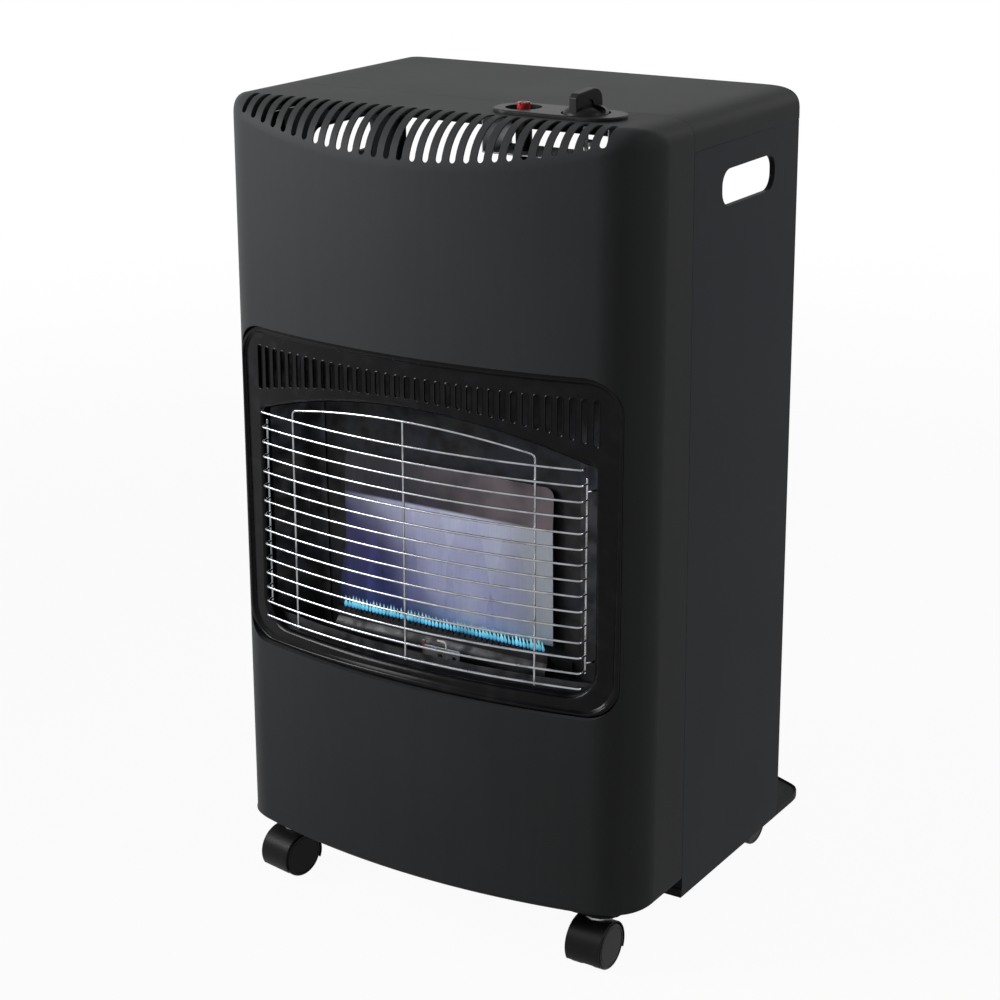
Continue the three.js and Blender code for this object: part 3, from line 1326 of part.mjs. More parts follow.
// ---------------------------------------------------------------- controls
// A plate on the shell's top with a cup for the button and one for the knob.
function controlBezel() {
  const seat = HEIGHT + FIT;
  const plate = push(
    roundedRectangle(
      BEZEL_LEFT,
      BEZEL_RIGHT,
      CONTROLS_Y - BEZEL_HALF_DEPTH,
      CONTROLS_Y + BEZEL_HALF_DEPTH,
      BEZEL_HALF_DEPTH,
    ),
    "z",
    seat,
    seat + BEZEL_THICKNESS,
    6,
  );
  const cup = (x, radius) => rod("z", [x, CONTROLS_Y], cupFloor - CUP_WALL, seat + SHEET, radius + CUP_WALL);
  const hollow = (x, radius) => rod("z", [x, CONTROLS_Y], cupFloor, seat + 2 * BEZEL_THICKNESS, radius);
  const hole = (x, radius) => rod("z", [x, CONTROLS_Y], bracketTop, HEIGHT, radius + FIT, 8);
  return cutBy(
    joined(plate, cup(KNOB_X, KNOB_CUP_RADIUS), cup(BUTTON_X, BUTTON_CUP_RADIUS)),
    hollow(KNOB_X, KNOB_CUP_RADIUS),
    hollow(BUTTON_X, BUTTON_CUP_RADIUS),
    hole(KNOB_X, SPINDLE_RADIUS),
    hole(BUTTON_X, BUTTON_RADIUS),
  );
}
place("control_bezel", controlBezel(), FINISH.blackPlastic);

// The knob: a domed skirt with an upright grip, scooped at both sides of its foot.
const knobFoot = cupFloor + PUSH_TRAVEL + FIT;
const spindleTop = knobFoot + KNOB_GRIP_HEIGHT / 2;
function controlKnob() {
  const skirt = turned(
    [
      [0, 0],
      [KNOB_RADIUS, 0],
      [KNOB_RADIUS, KNOB_EDGE],
      [KNOB_SHOULDER_RADIUS, KNOB_SHOULDER],
      [KNOB_RADIUS / 2, KNOB_SKIRT],
      [0, KNOB_SKIRT],
    ],
    [0, 0, 0],
    "z",
    18,
  );
  const end = KNOB_GRIP_LENGTH / 2;
  const side = new THREE.Shape();
  side.moveTo(-end, SHEET);
  side.lineTo(end, SHEET);
  side.lineTo(end, KNOB_HEEL);
  side.quadraticCurveTo(end, KNOB_GRIP_HEIGHT, end - KNOB_HEEL_BEND, KNOB_GRIP_HEIGHT);
  side.lineTo(KNOB_NOSE_BEVEL - end, KNOB_NOSE_TOP);
  side.lineTo(-end, KNOB_NOSE);
  const half = KNOB_GRIP_WIDTH / 2;
  const grip = push(side, "x", -half, half);
  const scoopAt = [0, KNOB_SKIRT];
  const scoops = [
    rod("x", scoopAt, half - SHEET, KNOB_RADIUS, KNOB_GRIP_HEIGHT / 4, 8),
    rod("x", scoopAt, -KNOB_RADIUS, SHEET - half, KNOB_GRIP_HEIGHT / 4, 8),
  ];
  const bore = rod("z", [0, 0], -SHEET, spindleTop - knobFoot + FIT, SPINDLE_RADIUS + FIT, 8);
  return cutBy(joined(skirt, grip), bore, ...scoops);
}
const knob = place("control_knob", controlKnob(), FINISH.blackPlastic);
knob.position.set(KNOB_X, CONTROLS_Y, knobFoot);
knob.rotation.z = KNOB_TURN;

const spindleFoot = neckTop - 2 * PUSH_TRAVEL - SPINDLE_RADIUS;
place(
  "valve_spindle",
  rod("z", [KNOB_X, CONTROLS_Y], spindleFoot, spindleTop, SPINDLE_RADIUS, 8),
  FINISH.steel,
);

// The collar that the spindle turns in and that slides with it when the knob is pushed.
function spindleCollar() {
  const foot = neckTop + PUSH_TRAVEL + FIT;
  return turned(
    [
      [SPINDLE_RADIUS + FIT, foot],
      [COLLAR_RADIUS, foot],
      [COLLAR_RADIUS, foot + COLLAR_HEIGHT],
      [SPINDLE_RADIUS + FIT, foot + COLLAR_HEIGHT],
      [SPINDLE_RADIUS + FIT, foot],
    ],
    [KNOB_X, CONTROLS_Y, 0],
    "z",
    10,
  );
}
place("spindle_collar", spindleCollar(), FINISH.steel);

// The red button, notched across its top.
function igniterButton() {
  const top = cupFloor + BUTTON_RISE;
  const button = rod("z", [BUTTON_X, CONTROLS_Y], buttonFoot, top, BUTTON_RADIUS, 8);
  const [reach, half, notch] = [BUTTON_RADIUS + SHEET, SHEET / 2, top - BUTTON_RISE / 4];
  const [x, y] = [BUTTON_X, CONTROLS_Y];
  return cutBy(
    button,
    box(x - reach, x + reach, y - half, y + half, notch, top + SHEET),
    box(x - half, x + half, y - reach, y + reach, notch, top + SHEET),
  );
}
place("igniter_button", igniterButton(), FINISH.redPlastic);

// ---------------------------------------------------------------- casters
// Each caster is drawn round its swivel pin, with the wheels trailing towards -Y, and turned into place.
const wheelAt = [-CASTER_TRAIL, WHEEL_RADIUS];
const plateTop = panFloor - FIT;
const plateFoot = plateTop - CASTER_PLATE;
const hoodRadius = WHEEL_RADIUS + HOOD_GAP + HOOD_WALL;

function casterPlate() {
  const plate = rod("z", [0, 0], plateFoot, plateTop, CASTER_PLATE_RADIUS, 6);
  return joined(plate, rod("z", [0, 0], plateFoot - PIN_LENGTH, plateFoot + SHEET, PIN_RADIUS, 5));
}

function casterHousing() {
  const [y, z] = wheelAt;
  const [from, to] = HOOD_ENDS;
  const coverShape = new THREE.Shape();
  coverShape.absarc(y, z, hoodRadius, from, to);
  coverShape.absarc(y, z, hoodRadius - HOOD_WALL, to, from, true);
  const webShape = new THREE.Shape();
  webShape.absarc(y, z, hoodRadius, from, to);
  webShape.absarc(y, z, 2 * AXLE_RADIUS + HOOD_WALL, 1.1 * Math.PI, 1.7 * Math.PI);
  const cover = push(coverShape, "x", -CASTER_WIDTH / 2, CASTER_WIDTH / 2, 6);
  const web = push(webShape, "x", -CASTER_CORE / 2, CASTER_CORE / 2, 4);
  const pinBore = rod("z", [0, 0], plateFoot - PIN_LENGTH - FIT, plateTop, PIN_RADIUS + FIT, 5);
  const axleBore = rod("x", wheelAt, -CASTER_CORE, CASTER_CORE, AXLE_RADIUS + FIT, 5);
  return cutBy(joined(cover, web), pinBore, axleBore);
}

// A wheel to the right of the web, flat side down.
function casterWheel() {
  const start = CASTER_CORE / 2 + FIT;
  const end = CASTER_WIDTH / 2;
  const tread = WHEEL_RADIUS / Math.cos(Math.PI / WHEEL_SIDES);
  const edge = tread - WHEEL_EDGE;
  return turned(
    [
      [AXLE_RADIUS + FIT, start],
      [tread, start],
      [tread, end - WHEEL_EDGE],
      [edge, end],
      [AXLE_RADIUS + FIT, end],
      [AXLE_RADIUS + FIT, start],
    ],
    [0, ...wheelAt],
    "x",
    WHEEL_SIDES,
  );
}

const CASTERS = {
  front_left: [-CASTER_X, CASTER_FRONT, LEFT_CASTER_TURN],
  front_right: [CASTER_X, CASTER_FRONT, 0],
  rear_left: [-CASTER_X, CASTER_REAR, 0],
  rear_right: [CASTER_X, CASTER_REAR, 0],
};
for (const [corner, [x, y, turn]] of Object.entries(CASTERS)) {
  const pivot = new THREE.Group();
  pivot.position.set(x - CASTER_TRAIL * Math.sin(turn), y + CASTER_TRAIL * Math.cos(turn), 0);
  pivot.rotation.z = turn;
  fromSeam.add(pivot);
  const axle = rod("x", wheelAt, HOOD_WALL - CASTER_WIDTH / 2, CASTER_WIDTH / 2 - HOOD_WALL, AXLE_RADIUS, 5);
  pivot.add(
    place("caster_" + corner + "_plate", casterPlate(), FINISH.steel),
    place("caster_" + corner + "_housing", casterHousing(), FINISH.blackPlastic),
    place("caster_" + corner + "_axle", axle, FINISH.steel),
    place("caster_" + corner + "_wheel_r", casterWheel(), FINISH.blackPlastic),
    place("caster_" + corner + "_wheel_l", mirrored(casterWheel()), FINISH.blackPlastic),
  );
}

// The part's frame: the middle of its footprint, on the floor.
const foremost = frontY(0, SHELL_BOTTOM + BOTTOM_ROUNDING);
fromSeam.position.y = -(foremost + PAN_REAR) / 2;

export default heater;
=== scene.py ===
"""Portable gas cabinet heater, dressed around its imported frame.

Every piece is drawn in millimetres from the seam between the front shell and the cabinet (y = 0), the
middle of the width (x = 0) and the floor (z = 0), with the front towards -Y. A piece is placed in the
frame, in metres, as it is made.
"""

from __future__ import annotations

import json
import logging
import math
from collections.abc import Iterable, Iterator, Sequence
from dataclasses import dataclass
from enum import Enum

import bmesh
import bpy
import numpy as np
from mathutils import Matrix, Vector

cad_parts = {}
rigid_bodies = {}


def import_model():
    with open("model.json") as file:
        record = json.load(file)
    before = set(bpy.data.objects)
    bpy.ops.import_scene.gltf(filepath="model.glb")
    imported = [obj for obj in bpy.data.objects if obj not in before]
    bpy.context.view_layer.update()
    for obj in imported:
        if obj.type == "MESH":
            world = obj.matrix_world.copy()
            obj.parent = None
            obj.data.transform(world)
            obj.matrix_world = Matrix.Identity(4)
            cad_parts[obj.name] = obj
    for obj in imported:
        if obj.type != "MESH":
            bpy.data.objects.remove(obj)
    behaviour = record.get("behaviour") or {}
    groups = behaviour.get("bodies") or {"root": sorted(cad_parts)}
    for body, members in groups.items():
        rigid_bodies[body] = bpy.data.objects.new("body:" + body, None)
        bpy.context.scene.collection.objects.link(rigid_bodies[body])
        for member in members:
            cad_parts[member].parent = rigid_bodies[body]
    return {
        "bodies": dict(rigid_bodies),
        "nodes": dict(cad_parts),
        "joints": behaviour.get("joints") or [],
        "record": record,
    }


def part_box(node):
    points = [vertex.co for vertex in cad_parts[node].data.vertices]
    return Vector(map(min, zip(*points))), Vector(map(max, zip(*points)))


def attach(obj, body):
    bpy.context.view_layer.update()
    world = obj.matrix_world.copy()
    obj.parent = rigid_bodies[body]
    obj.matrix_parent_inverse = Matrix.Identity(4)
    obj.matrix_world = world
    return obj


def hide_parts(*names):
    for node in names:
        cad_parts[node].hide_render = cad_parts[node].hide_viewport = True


LOG = logging.getLogger("heater")
MM = 0.001
SHEET = 1.2
FIT = 0.3
MERGE = 0.002
QUARTER = math.pi / 2
KEY_SPREAD = math.radians(80)
Pair = tuple[float, float]
Triple = tuple[float, float, float]
Colour = Triple
Points = np.ndarray


class Body(str, Enum):
    """The frame's bodies."""

    CABINET = "cabinet"
    KNOB = "knob"
    BUTTON = "button"
    COLLAR = "knob_collar"


class Slot(str, Enum):
    """The record's material slots."""

    CHARCOAL = "charcoal_paint"
    SIDE = "side_paint"
    GLOSS = "gloss_black"
    GALVANISED = "galvanised"
    SOOTY = "sooty_steel"
    REFLECTOR = "reflector_steel"
    CHROME = "chrome"
    BRASS = "brass"
    COPPER = "copper"
    STEEL = "steel"
    PLASTIC = "black_plastic"
    RED = "red_plastic"
    CERAMIC = "ceramic"


# ---------------------------------------------------------------- shader maths
@dataclass
class Value:
    """A socket that can be used in Python arithmetic."""

    graph: "Graph"
    socket: bpy.types.NodeSocket

    def _math(self, operation: str, *operands: "Value | float") -> "Value":
        """Adds one Math node.

        Args:
            operation: Blender's name of the operation.
            operands: the node's inputs, in order.

        Returns:
            The node's result.
        """
        inputs = dict(enumerate(operands))
        return self.graph.node("ShaderNodeMath", {"operation": operation}, inputs)

    def __add__(self, other: "Value | float") -> "Value":
        """Sum of two values."""
        return self._math("ADD", self, other)

    def __radd__(self, other: float) -> "Value":
        """Sum with a number on the left."""
        return self._math("ADD", other, self)

    def __sub__(self, other: "Value | float") -> "Value":
        """Difference of two values."""
        return self._math("SUBTRACT", self, other)

    def __rsub__(self, other: float) -> "Value":
        """A number less this value."""
        return self._math("SUBTRACT", other, self)

    def __mul__(self, other: "Value | float") -> "Value":
        """Product of two values."""
        return self._math("MULTIPLY", self, other)

    def __rmul__(self, other: float) -> "Value":
        """Product with a number on the left."""
        return self._math("MULTIPLY", other, self)

    def __truediv__(self, other: "Value | float") -> "Value":
        """Quotient of two values."""
        return self._math("DIVIDE", self, other)

    def smooth(self, low: float, high: float) -> "Value":
        """Eases from 0 to 1 as this value goes from low to high.

        Args:
            low: value that gives 0.
            high: value that gives 1.

        Returns:
            The eased value.
        """
        settings = {"interpolation_type": "SMOOTHSTEP"}
        return self.graph.node("ShaderNodeMapRange", settings, {0: self, 1: low, 2: high})


class Graph:
    """A node tree that is built node by node."""

    def __init__(self, tree: bpy.types.NodeTree) -> None:
        """Takes the tree to build in.

        Args:
            tree: a shader tree or a geometry tree.
        """
        self.tree = tree

    def node(
        self,
        kind: str,
        settings: dict[str, object] | None = None,
        inputs: dict[int | str, object] | None = None,
        out: int | str = 0,
    ) -> Value:
        """Adds a node, with its settings first and its inputs after them.

        Args:
            kind: the node's type.
            settings: attributes of the node; "stops" fills a colour ramp.
            inputs: values or links, by the input's number or name.
            out: the output that is handed back.

        Returns:
            That output.
        """
        made = self.tree.nodes.new(kind)
        for key, value in (settings or {}).items():
            if key == "stops":
                self._fill_ramp(made.color_ramp, value)
            else:
                setattr(made, key, value)
        for key, value in (inputs or {}).items():
            if isinstance(value, Value):
                self.tree.links.new(value.socket, made.inputs[key])
            else:
                made.inputs[key].default_value = value
        return Value(self, made.outputs[out] if len(made.outputs) else None)

    @staticmethod
    def _fill_ramp(ramp: bpy.types.ColorRamp, stops: Sequence[tuple[float, Colour]]) -> None:
        """Sets a ramp's stops.

        Args:
            ramp: the ramp to fill.
            stops: position and colour of each stop.
        """
        while len(ramp.elements) > 1:
            ramp.elements.remove(ramp.elements[-1])
        for index, (position, colour) in enumerate(stops):
            stop = ramp.elements[0] if index == 0 else ramp.elements.new(position)
            stop.position = position
            stop.color = (*colour, 1)


class Shader(Graph):
    """Builds one material's nodes around a Principled surface."""

    def __init__(self, name: str) -> None:
        """Starts an empty material.

        Args:
            name: the material's name.
        """
        self.material = bpy.data.materials.new(name)
        self.material.use_nodes = True
        super().__init__(self.material.node_tree)
        self.tree.nodes.clear()
        self.output = self.tree.nodes.new("ShaderNodeOutputMaterial")

    def place(self) -> Value:
        """Object coordinates, in metres."""
        return self.node("ShaderNodeTexCoord", out="Object")

    def axis(self, name: str) -> Value:
        """One of the Object coordinates, X, Y or Z."""
        return self.node("ShaderNodeSeparateXYZ", inputs={0: self.place()}, out=name)

    def stretched(self, x: float, y: float, z: float) -> Value:
        """Object coordinates scaled along each axis.

        Args:
            x: scale along X.
            y: scale along Y.
            z: scale along Z.

        Returns:
            The scaled coordinates.
        """
        return self.node("ShaderNodeMapping", inputs={"Vector": self.place(), "Scale": (x, y, z)})

    def noise(self, scale: float, detail: float = 3.0, at: Value | None = None) -> Value:
        """Noise from 0 to 1.

        Args:
            scale: cells in a metre.
            detail: layers of finer noise.
            at: coordinates, the object's own where none are given.

        Returns:
            The noise.
        """
        inputs = {"Vector": at or self.place(), "Scale": scale, "Detail": detail}
        return self.node("ShaderNodeTexNoise", inputs=inputs)

    def mix(self, share: Value | float, one: object, other: object) -> Value:
        """Mixes two colours.

        Args:
            share: 0 gives the first colour and 1 the second.
            one: first colour, or a value that holds it.
            other: second colour, or a value that holds it.

        Returns:
            The mixed colour.
        """
        colours = [(*c, 1) if isinstance(c, tuple) else c for c in (one, other)]
        settings = {"data_type": "RGBA"}
        return self.node("ShaderNodeMix", settings, {0: share, 6: colours[0], 7: colours[1]}, out=2)

    def ramp(self, factor: Value, stops: Sequence[tuple[float, Colour]]) -> Value:
        """A colour ramp over a value."""
        return self.node("ShaderNodeValToRGB", {"stops": stops}, {0: factor})

    def bump(self, height: Value, depth: float, strength: float = 1.0) -> Value:
        """A normal from a height.

        Args:
            height: the height, from 0 to 1.
            depth: what a height of 1 stands for, in metres.
            strength: share of the effect.

        Returns:
            The bumped normal.
        """
        inputs = {"Height": height, "Distance": depth, "Strength": strength}
        return self.node("ShaderNodeBump", inputs=inputs)

    def finish(self, **sockets: object) -> bpy.types.Material:
        """Ends the material with a Principled surface.

        Args:
            sockets: values of the surface's sockets, with underscores for spaces in their names.

        Returns:
            The material.
        """
        inputs: dict[int | str, object] = {}
        for key, value in sockets.items():
            name = key.replace("_", " ").replace("IOR level", "IOR Level")
            inputs[name] = (*value, 1) if isinstance(value, tuple) and len(value) == 3 else value
        surface = self.node("ShaderNodeBsdfPrincipled", inputs=inputs)
        self.tree.links.new(surface.socket, self.output.inputs["Surface"])
        return self.material


# ---------------------------------------------------------------- finishes
def tinted(colour: Colour, *shares: float, lift: float = 0.0) -> Colour:
    """A colour with its channels scaled, by one share or by three, and lifted, up to white."""
    scales = shares * 3 if len(shares) == 1 else shares
    return tuple(min(1.0, channel * scale + lift) for channel, scale in zip(colour, scales))


@dataclass(frozen=True)
class Finish:
    """A finish: it knows its name and makes its material once."""

    name: str

    def material(self) -> bpy.types.Material:
        """The finish's material, made at its first use."""
        found = bpy.data.materials.get(self.name)
        return found or self.build(Shader(self.name))

    def build(self, shader: Shader) -> bpy.types.Material:
        """Builds the material; each kind of finish has its own."""
        raise NotImplementedError


@dataclass(frozen=True)
class PowderCoat(Finish):
    """Matt powder coat: a fine even grain, slightly cloudy and streaked, with a little dust."""

    colour: Colour
    roughness: float = 0.5
    grain: float = 1500.0
    depth: float = 0.00012
    gloss: float = 0.03
    drift: float = 0.16

    def build(self, shader: Shader) -> bpy.types.Material:
        """Grain from fine noise, a slow drift of tone over the sheet, and specks of dust."""
        grain = shader.noise(self.grain, 2.0)
        cloud = shader.noise(9.0, 4.0)
        streak = shader.noise(1.0, 5.0, shader.stretched(120.0, 120.0, 3.0))
        dust = shader.noise(420.0, 6.0).smooth(0.66, 0.78)
        light, dark = tinted(self.colour, 1 + self.drift), tinted(self.colour, 1 - self.drift)
        tone = shader.mix(cloud * 0.6 + streak * 0.4, dark, light)
        return shader.finish(
            Base_Color=shader.mix(dust * 0.35, tone, tinted(self.colour, 1.9, lift=0.004)),
            Roughness=self.roughness + (cloud - 0.5) * 0.12 + (grain - 0.5) * 0.1,
            Specular_IOR_level=self.gloss,
            Normal=shader.bump(grain + streak * 0.1, self.depth, 0.6),
        )


@dataclass(frozen=True)
class GlossEnamel(Finish):
    """Gloss black enamel with a slight orange peel."""

    colour: Colour = (0.0035, 0.0035, 0.0042)
    dusty: Colour = (0.008, 0.008, 0.0095)
    gloss: float = 0.09

    def build(self, shader: Shader) -> bpy.types.Material:
        """Peel from soft noise, and faint dust that dulls the gloss."""
        peel = shader.noise(260.0, 1.0)
        dust = shader.noise(70.0, 6.0)
        return shader.finish(
            Base_Color=shader.mix(dust.smooth(0.45, 0.8), self.colour, self.dusty),
            Roughness=0.15 + dust * 0.12,
            Specular_IOR_level=self.gloss,
            Normal=shader.bump(peel, 0.00008, 0.5),
        )


@dataclass(frozen=True)
class Galvanised(Finish):
    """Zinc-coated sheet with a soft spangle."""

    colour: Colour = (0.36, 0.375, 0.39)
    spangles: float = 130.0

    def build(self, shader: Shader) -> bpy.types.Material:
        """Spangle from cells, greyed by a thin bloom."""
        settings = {"feature": "F1"}
        inputs = {"Vector": shader.place(), "Scale": self.spangles}
        cell = shader.node("ShaderNodeTexVoronoi", settings, inputs, out="Color")
        flake = shader.node("ShaderNodeSeparateColor", inputs={0: cell})
        bloom = shader.noise(26.0, 5.0)
        dark, light = tinted(self.colour, 0.72), tinted(self.colour, 1.25)
        return shader.finish(
            Base_Color=shader.mix(flake * 0.6 + bloom * 0.4, dark, light),
            Metallic=1.0,
            Roughness=0.36 + bloom * 0.2 + flake * 0.08,
            Normal=shader.bump(flake * 0.4 + bloom, 0.00006, 0.35),
        )


@dataclass(frozen=True)
class HotSteel(Finish):
    """Steel near the fire: faintly browned and blued in bands by heat, with patches of soot."""

    clean: Colour
    sooted: Colour
    roughness: float
    metallic: float
    gloss: float = 0.12

    def build(self, shader: Shader) -> bpy.types.Material:
        """Heat colours in soft bands, under patches of soot."""
        patch = shader.noise(22.0, 6.0)
        band = shader.axis("Z") * 9.0 + patch * 1.6
        tint = shader.ramp(
            shader.node("ShaderNodeMath", {"operation": "FRACT"}, {0: band}),
            [
                (0.0, self.clean),
                (0.35, tinted(self.clean, 1.1, 0.97, 0.85)),
                (0.6, tinted(self.clean, 0.8, 0.85, 1.15)),
                (1.0, self.clean),
            ],
        )
        soot = shader.noise(60.0, 8.0).smooth(0.35, 0.7)
        scale = shader.noise(900.0, 3.0)
        return shader.finish(
            Base_Color=shader.mix(soot, tint, self.sooted),
            Metallic=self.metallic * (1 - soot * 0.7),
            Roughness=self.roughness + soot * 0.25 - patch * 0.1,
            Specular_IOR_level=self.gloss,
            Normal=shader.bump(soot * 0.3 + scale, 0.00008, 0.5),
        )


@dataclass(frozen=True)
class ReflectorSteel(Finish):
    """Satin stainless sheet behind the flames, with painted flame light below its fold and painted
    shade above it.
    """

    fold: float = 0.38
    # painted flame light below the fold, painted shade above it, a brownish tint in patches, and the
    # brushing's tone
    dark_blue_lower_left: Colour = (0.016, 0.018, 0.05)
    flame_lit_bright: Colour = (0.4, 0.42, 0.56)
    grey: Colour = (0.28, 0.3, 0.34)
    above: Colour = (0.014, 0.014, 0.017)
    browned: Colour = (0.11, 0.088, 0.1)
    brushing: Colour = (0.09, 0.09, 0.1)

    def build(self, shader: Shader) -> bpy.types.Material:
        """Upright brushing over painted flame light, bright in the middle, greyer to the right and
        darker blue to the lower left, and painted shade with brownish patches above the fold.
        """
        brushed = shader.noise(1.0, 6.0, shader.stretched(900.0, 900.0, 14.0))
        wave = shader.noise(14.0, 3.0)
        across = shader.axis("X") + (wave - 0.5) * 0.08
        # painted flame light on the lower face: bright in the middle, greyer to the right
        lit = shader.mix(across.smooth(0.03, 0.1), self.flame_lit_bright, self.grey)
        rising = across + (shader.axis("Z") - 0.33) * 0.6
        # darker blue towards the lower left of the lower face
        low = shader.mix(rising.smooth(-0.09, -0.005), self.dark_blue_lower_left, lit)
        share = across.smooth(-0.06, 0.09) * wave.smooth(0.35, 0.6)
        # painted shade above the fold, with brownish patches towards the right
        high = shader.mix(share, self.above, self.browned)
        # painted flame light below the fold and painted shade above it
        flame_light_and_shade = shader.mix(shader.axis("Z").smooth(self.fold - 0.002, self.fold + 0.001), low, high)
        return shader.finish(
            Base_Color=shader.mix(brushed * 0.25, flame_light_and_shade, self.brushing),
            Metallic=0.9,
            Roughness=0.28 + brushed * 0.22 + wave * 0.1,
            Normal=shader.bump(brushed, 0.00005, 0.35),
        )


@dataclass(frozen=True)
class BrightMetal(Finish):
    """A bare or plated metal, a little dulled in patches and finely scratched."""

    colour: Colour
    dull: Colour
    roughness: float = 0.2
    patches: float = 0.4

    def build(self, shader: Shader) -> bpy.types.Material:
        """Two tones in patches, with fine scratches in the gloss."""
        patch = shader.noise(70.0, 6.0).smooth(0.4, 0.75)
        scratch = shader.noise(1.0, 4.0, shader.stretched(2400.0, 300.0, 2400.0))
        return shader.finish(
            Base_Color=shader.mix(patch * self.patches, self.colour, self.dull),
            Metallic=1.0,
            Roughness=self.roughness + patch * 0.14 + scratch * 0.08,
            Normal=shader.bump(scratch, 0.00003, 0.3),
        )


@dataclass(frozen=True)
class MouldedPlastic(Finish):
    """Moulded plastic with a fine grain and scuffed high spots, black below a height."""

    colour: Colour
    roughness: float = 0.4
    grain: float = 2200.0
    depth: float = 0.00005
    gloss: float = 0.07
    black_below: float = -1.0
    black: Colour = (0.008, 0.008, 0.008)

    def build(self, shader: Shader) -> bpy.types.Material:
        """Grain in the normal, scuffs in colour and gloss."""
        grain = shader.noise(self.grain, 2.0)
        scuff = shader.noise(130.0, 8.0).smooth(0.6, 0.8)
        worn = shader.mix(scuff * 0.3, self.colour, tinted(self.colour, 2.2, lift=0.01))
        coloured = shader.axis("Z").smooth(self.black_below - 0.001, self.black_below)
        return shader.finish(
            Base_Color=shader.mix(coloured, self.black, worn),
            Roughness=self.roughness + scuff * 0.15 + (grain - 0.5) * 0.08,
            Specular_IOR_level=self.gloss,
            Normal=shader.bump(grain, self.depth, 0.5),
        )


@dataclass(frozen=True)
class Flame(Finish):
    """Gas flame: light of its own, thinning towards its tip."""

    foot: float
    tip: float
    base: Colour
    body: Colour
    end: Colour
    strength: float
    opacity: float
    ragged: float

    def build(self, shader: Shader) -> bpy.types.Material:
        """Colour and opacity by height, broken up by soft noise."""
        lick = shader.noise(1.0, 3.0, shader.stretched(60.0, 60.0, 14.0))
        height = shader.axis("Z") + (lick - 0.5) * self.ragged
        up = (height - self.foot) / (self.tip - self.foot)
        colour = shader.ramp(up, [(0.0, self.base), (0.45, self.body), (1.0, self.end)])
        thin = (1 - up.smooth(0.35, 1.0)) * up.smooth(-0.25, 0.2)
        return shader.finish(
            Base_Color=(0.0, 0.0, 0.0),
            Roughness=1.0,
            Specular_IOR_level=0.0,
            Emission_Color=colour,
            Emission_Strength=self.strength,
            Alpha=thin * (lick.smooth(0.3, 0.62) * 0.6 + 0.4) * self.opacity,
        )


CHARCOAL = PowderCoat("charcoal powder coat", (0.0275, 0.0285, 0.0298))
SIDE_PAINT = PowderCoat("blue-grey powder coat", (0.0215, 0.0245, 0.0285), 0.46, 1300.0)
GLOSS_BLACK = GlossEnamel("gloss black enamel")
ZINC_SHEET = Galvanised("galvanised sheet")
SOOTY = HotSteel("sooty steel", (0.04, 0.042, 0.047), (0.007, 0.007, 0.008), 0.4, 0.55)
SHIELD = HotSteel("heat shield sheet", (0.02, 0.021, 0.023), (0.006, 0.006, 0.006), 0.5, 0.3)
REFLECTOR_SHEET = ReflectorSteel("satin reflector")
CHROME = BrightMetal("chrome wire", (0.36, 0.37, 0.39), (0.12, 0.12, 0.13), 0.14, 0.75)
BRASS = BrightMetal("turned brass", (0.68, 0.47, 0.18), (0.32, 0.21, 0.09), 0.26, 0.6)
COPPER = BrightMetal("drawn copper", (0.72, 0.34, 0.19), (0.33, 0.16, 0.1), 0.28, 0.6)
ZINC_STEEL = BrightMetal("zinc-plated steel", (0.5, 0.51, 0.53), (0.27, 0.27, 0.28), 0.3, 0.5)
BLACK_PLASTIC = MouldedPlastic("black moulded plastic", (0.0085, 0.0085, 0.009), 0.36)
WHEEL_PLASTIC = MouldedPlastic("black wheel plastic", (0.007, 0.007, 0.0075), 0.3, 900.0, 0.00003)
RED_PLASTIC = MouldedPlastic(
    "red button plastic", (0.2, 0.012, 0.01), 0.24, 1400.0, 0.00002, gloss=0.3, black_below=0.722
)
CERAMIC = MouldedPlastic("glazed ceramic", (0.68, 0.65, 0.58), 0.28, 700.0, 0.00002, gloss=0.4)
BLUE_FLAME = Flame(
    "blue gas flame",
    foot=0.2735,
    tip=0.287,
    base=(0.03, 0.22, 0.5),
    body=(0.2, 0.66, 0.76),
    end=(0.7, 0.93, 1.0),
    strength=1.3,
    opacity=0.85,
    ragged=0.003,
)
# Faint glowing sheets over the flames: painted light for the violet glow on the reflector.
VIOLET_GLOW_PAINT = Flame(
    "painted violet flame glow",
    foot=0.276,
    tip=0.425,
    base=(0.1, 0.16, 0.62),
    body=(0.16, 0.13, 0.5),
    end=(0.26, 0.15, 0.42),
    strength=0.5,
    opacity=0.11,
    ragged=0.07,
)


# ---------------------------------------------------------------- shapes
@dataclass
class Shape:
    """Points in millimetres from the seam, and the faces between them."""

    points: Points
    faces: list[tuple[int, ...]]

    def __add__(self, other: "Shape") -> "Shape":
        """Both shapes as one, each still a body of its own."""
        start = len(self.points)
        moved = [tuple(i + start for i in face) for face in other.faces]
        return Shape(np.vstack([self.points, other.points]), self.faces + moved)

    def turned(self, matrix: Matrix) -> "Shape":
        """The shape after a turn and a shift, in millimetres."""
        whole = np.array(matrix)
        return Shape(self.points @ whole[:3, :3].T + whole[:3, 3], self.faces)


def loft(loops: Sequence[Points], ring: bool = False, ends: bool = False) -> Shape:
    """Joins closed loops of points, one after the other.

    Args:
        loops: the loops, each with the same number of points.
        ring: joins the last loop to the first, for a wall with two skins.
        ends: closes the first and the last loop with a face each.

    Returns:
        The shape.
    """
    count = len(loops[0])
    faces: list[tuple[int, ...]] = []
    steps = len(loops) if ring else len(loops) - 1
    for row in range(steps):
        one, other = row * count, ((row + 1) % len(loops)) * count
        for i in range(count):
            following = (i + 1) % count
            faces.append((one + i, one + following, other + following, other + i))
    if ends:
        last = (len(loops) - 1) * count
        faces.append(tuple(range(count)))
        faces.append(tuple(last + i for i in reversed(range(count))))
    return Shape(np.vstack(loops), faces)


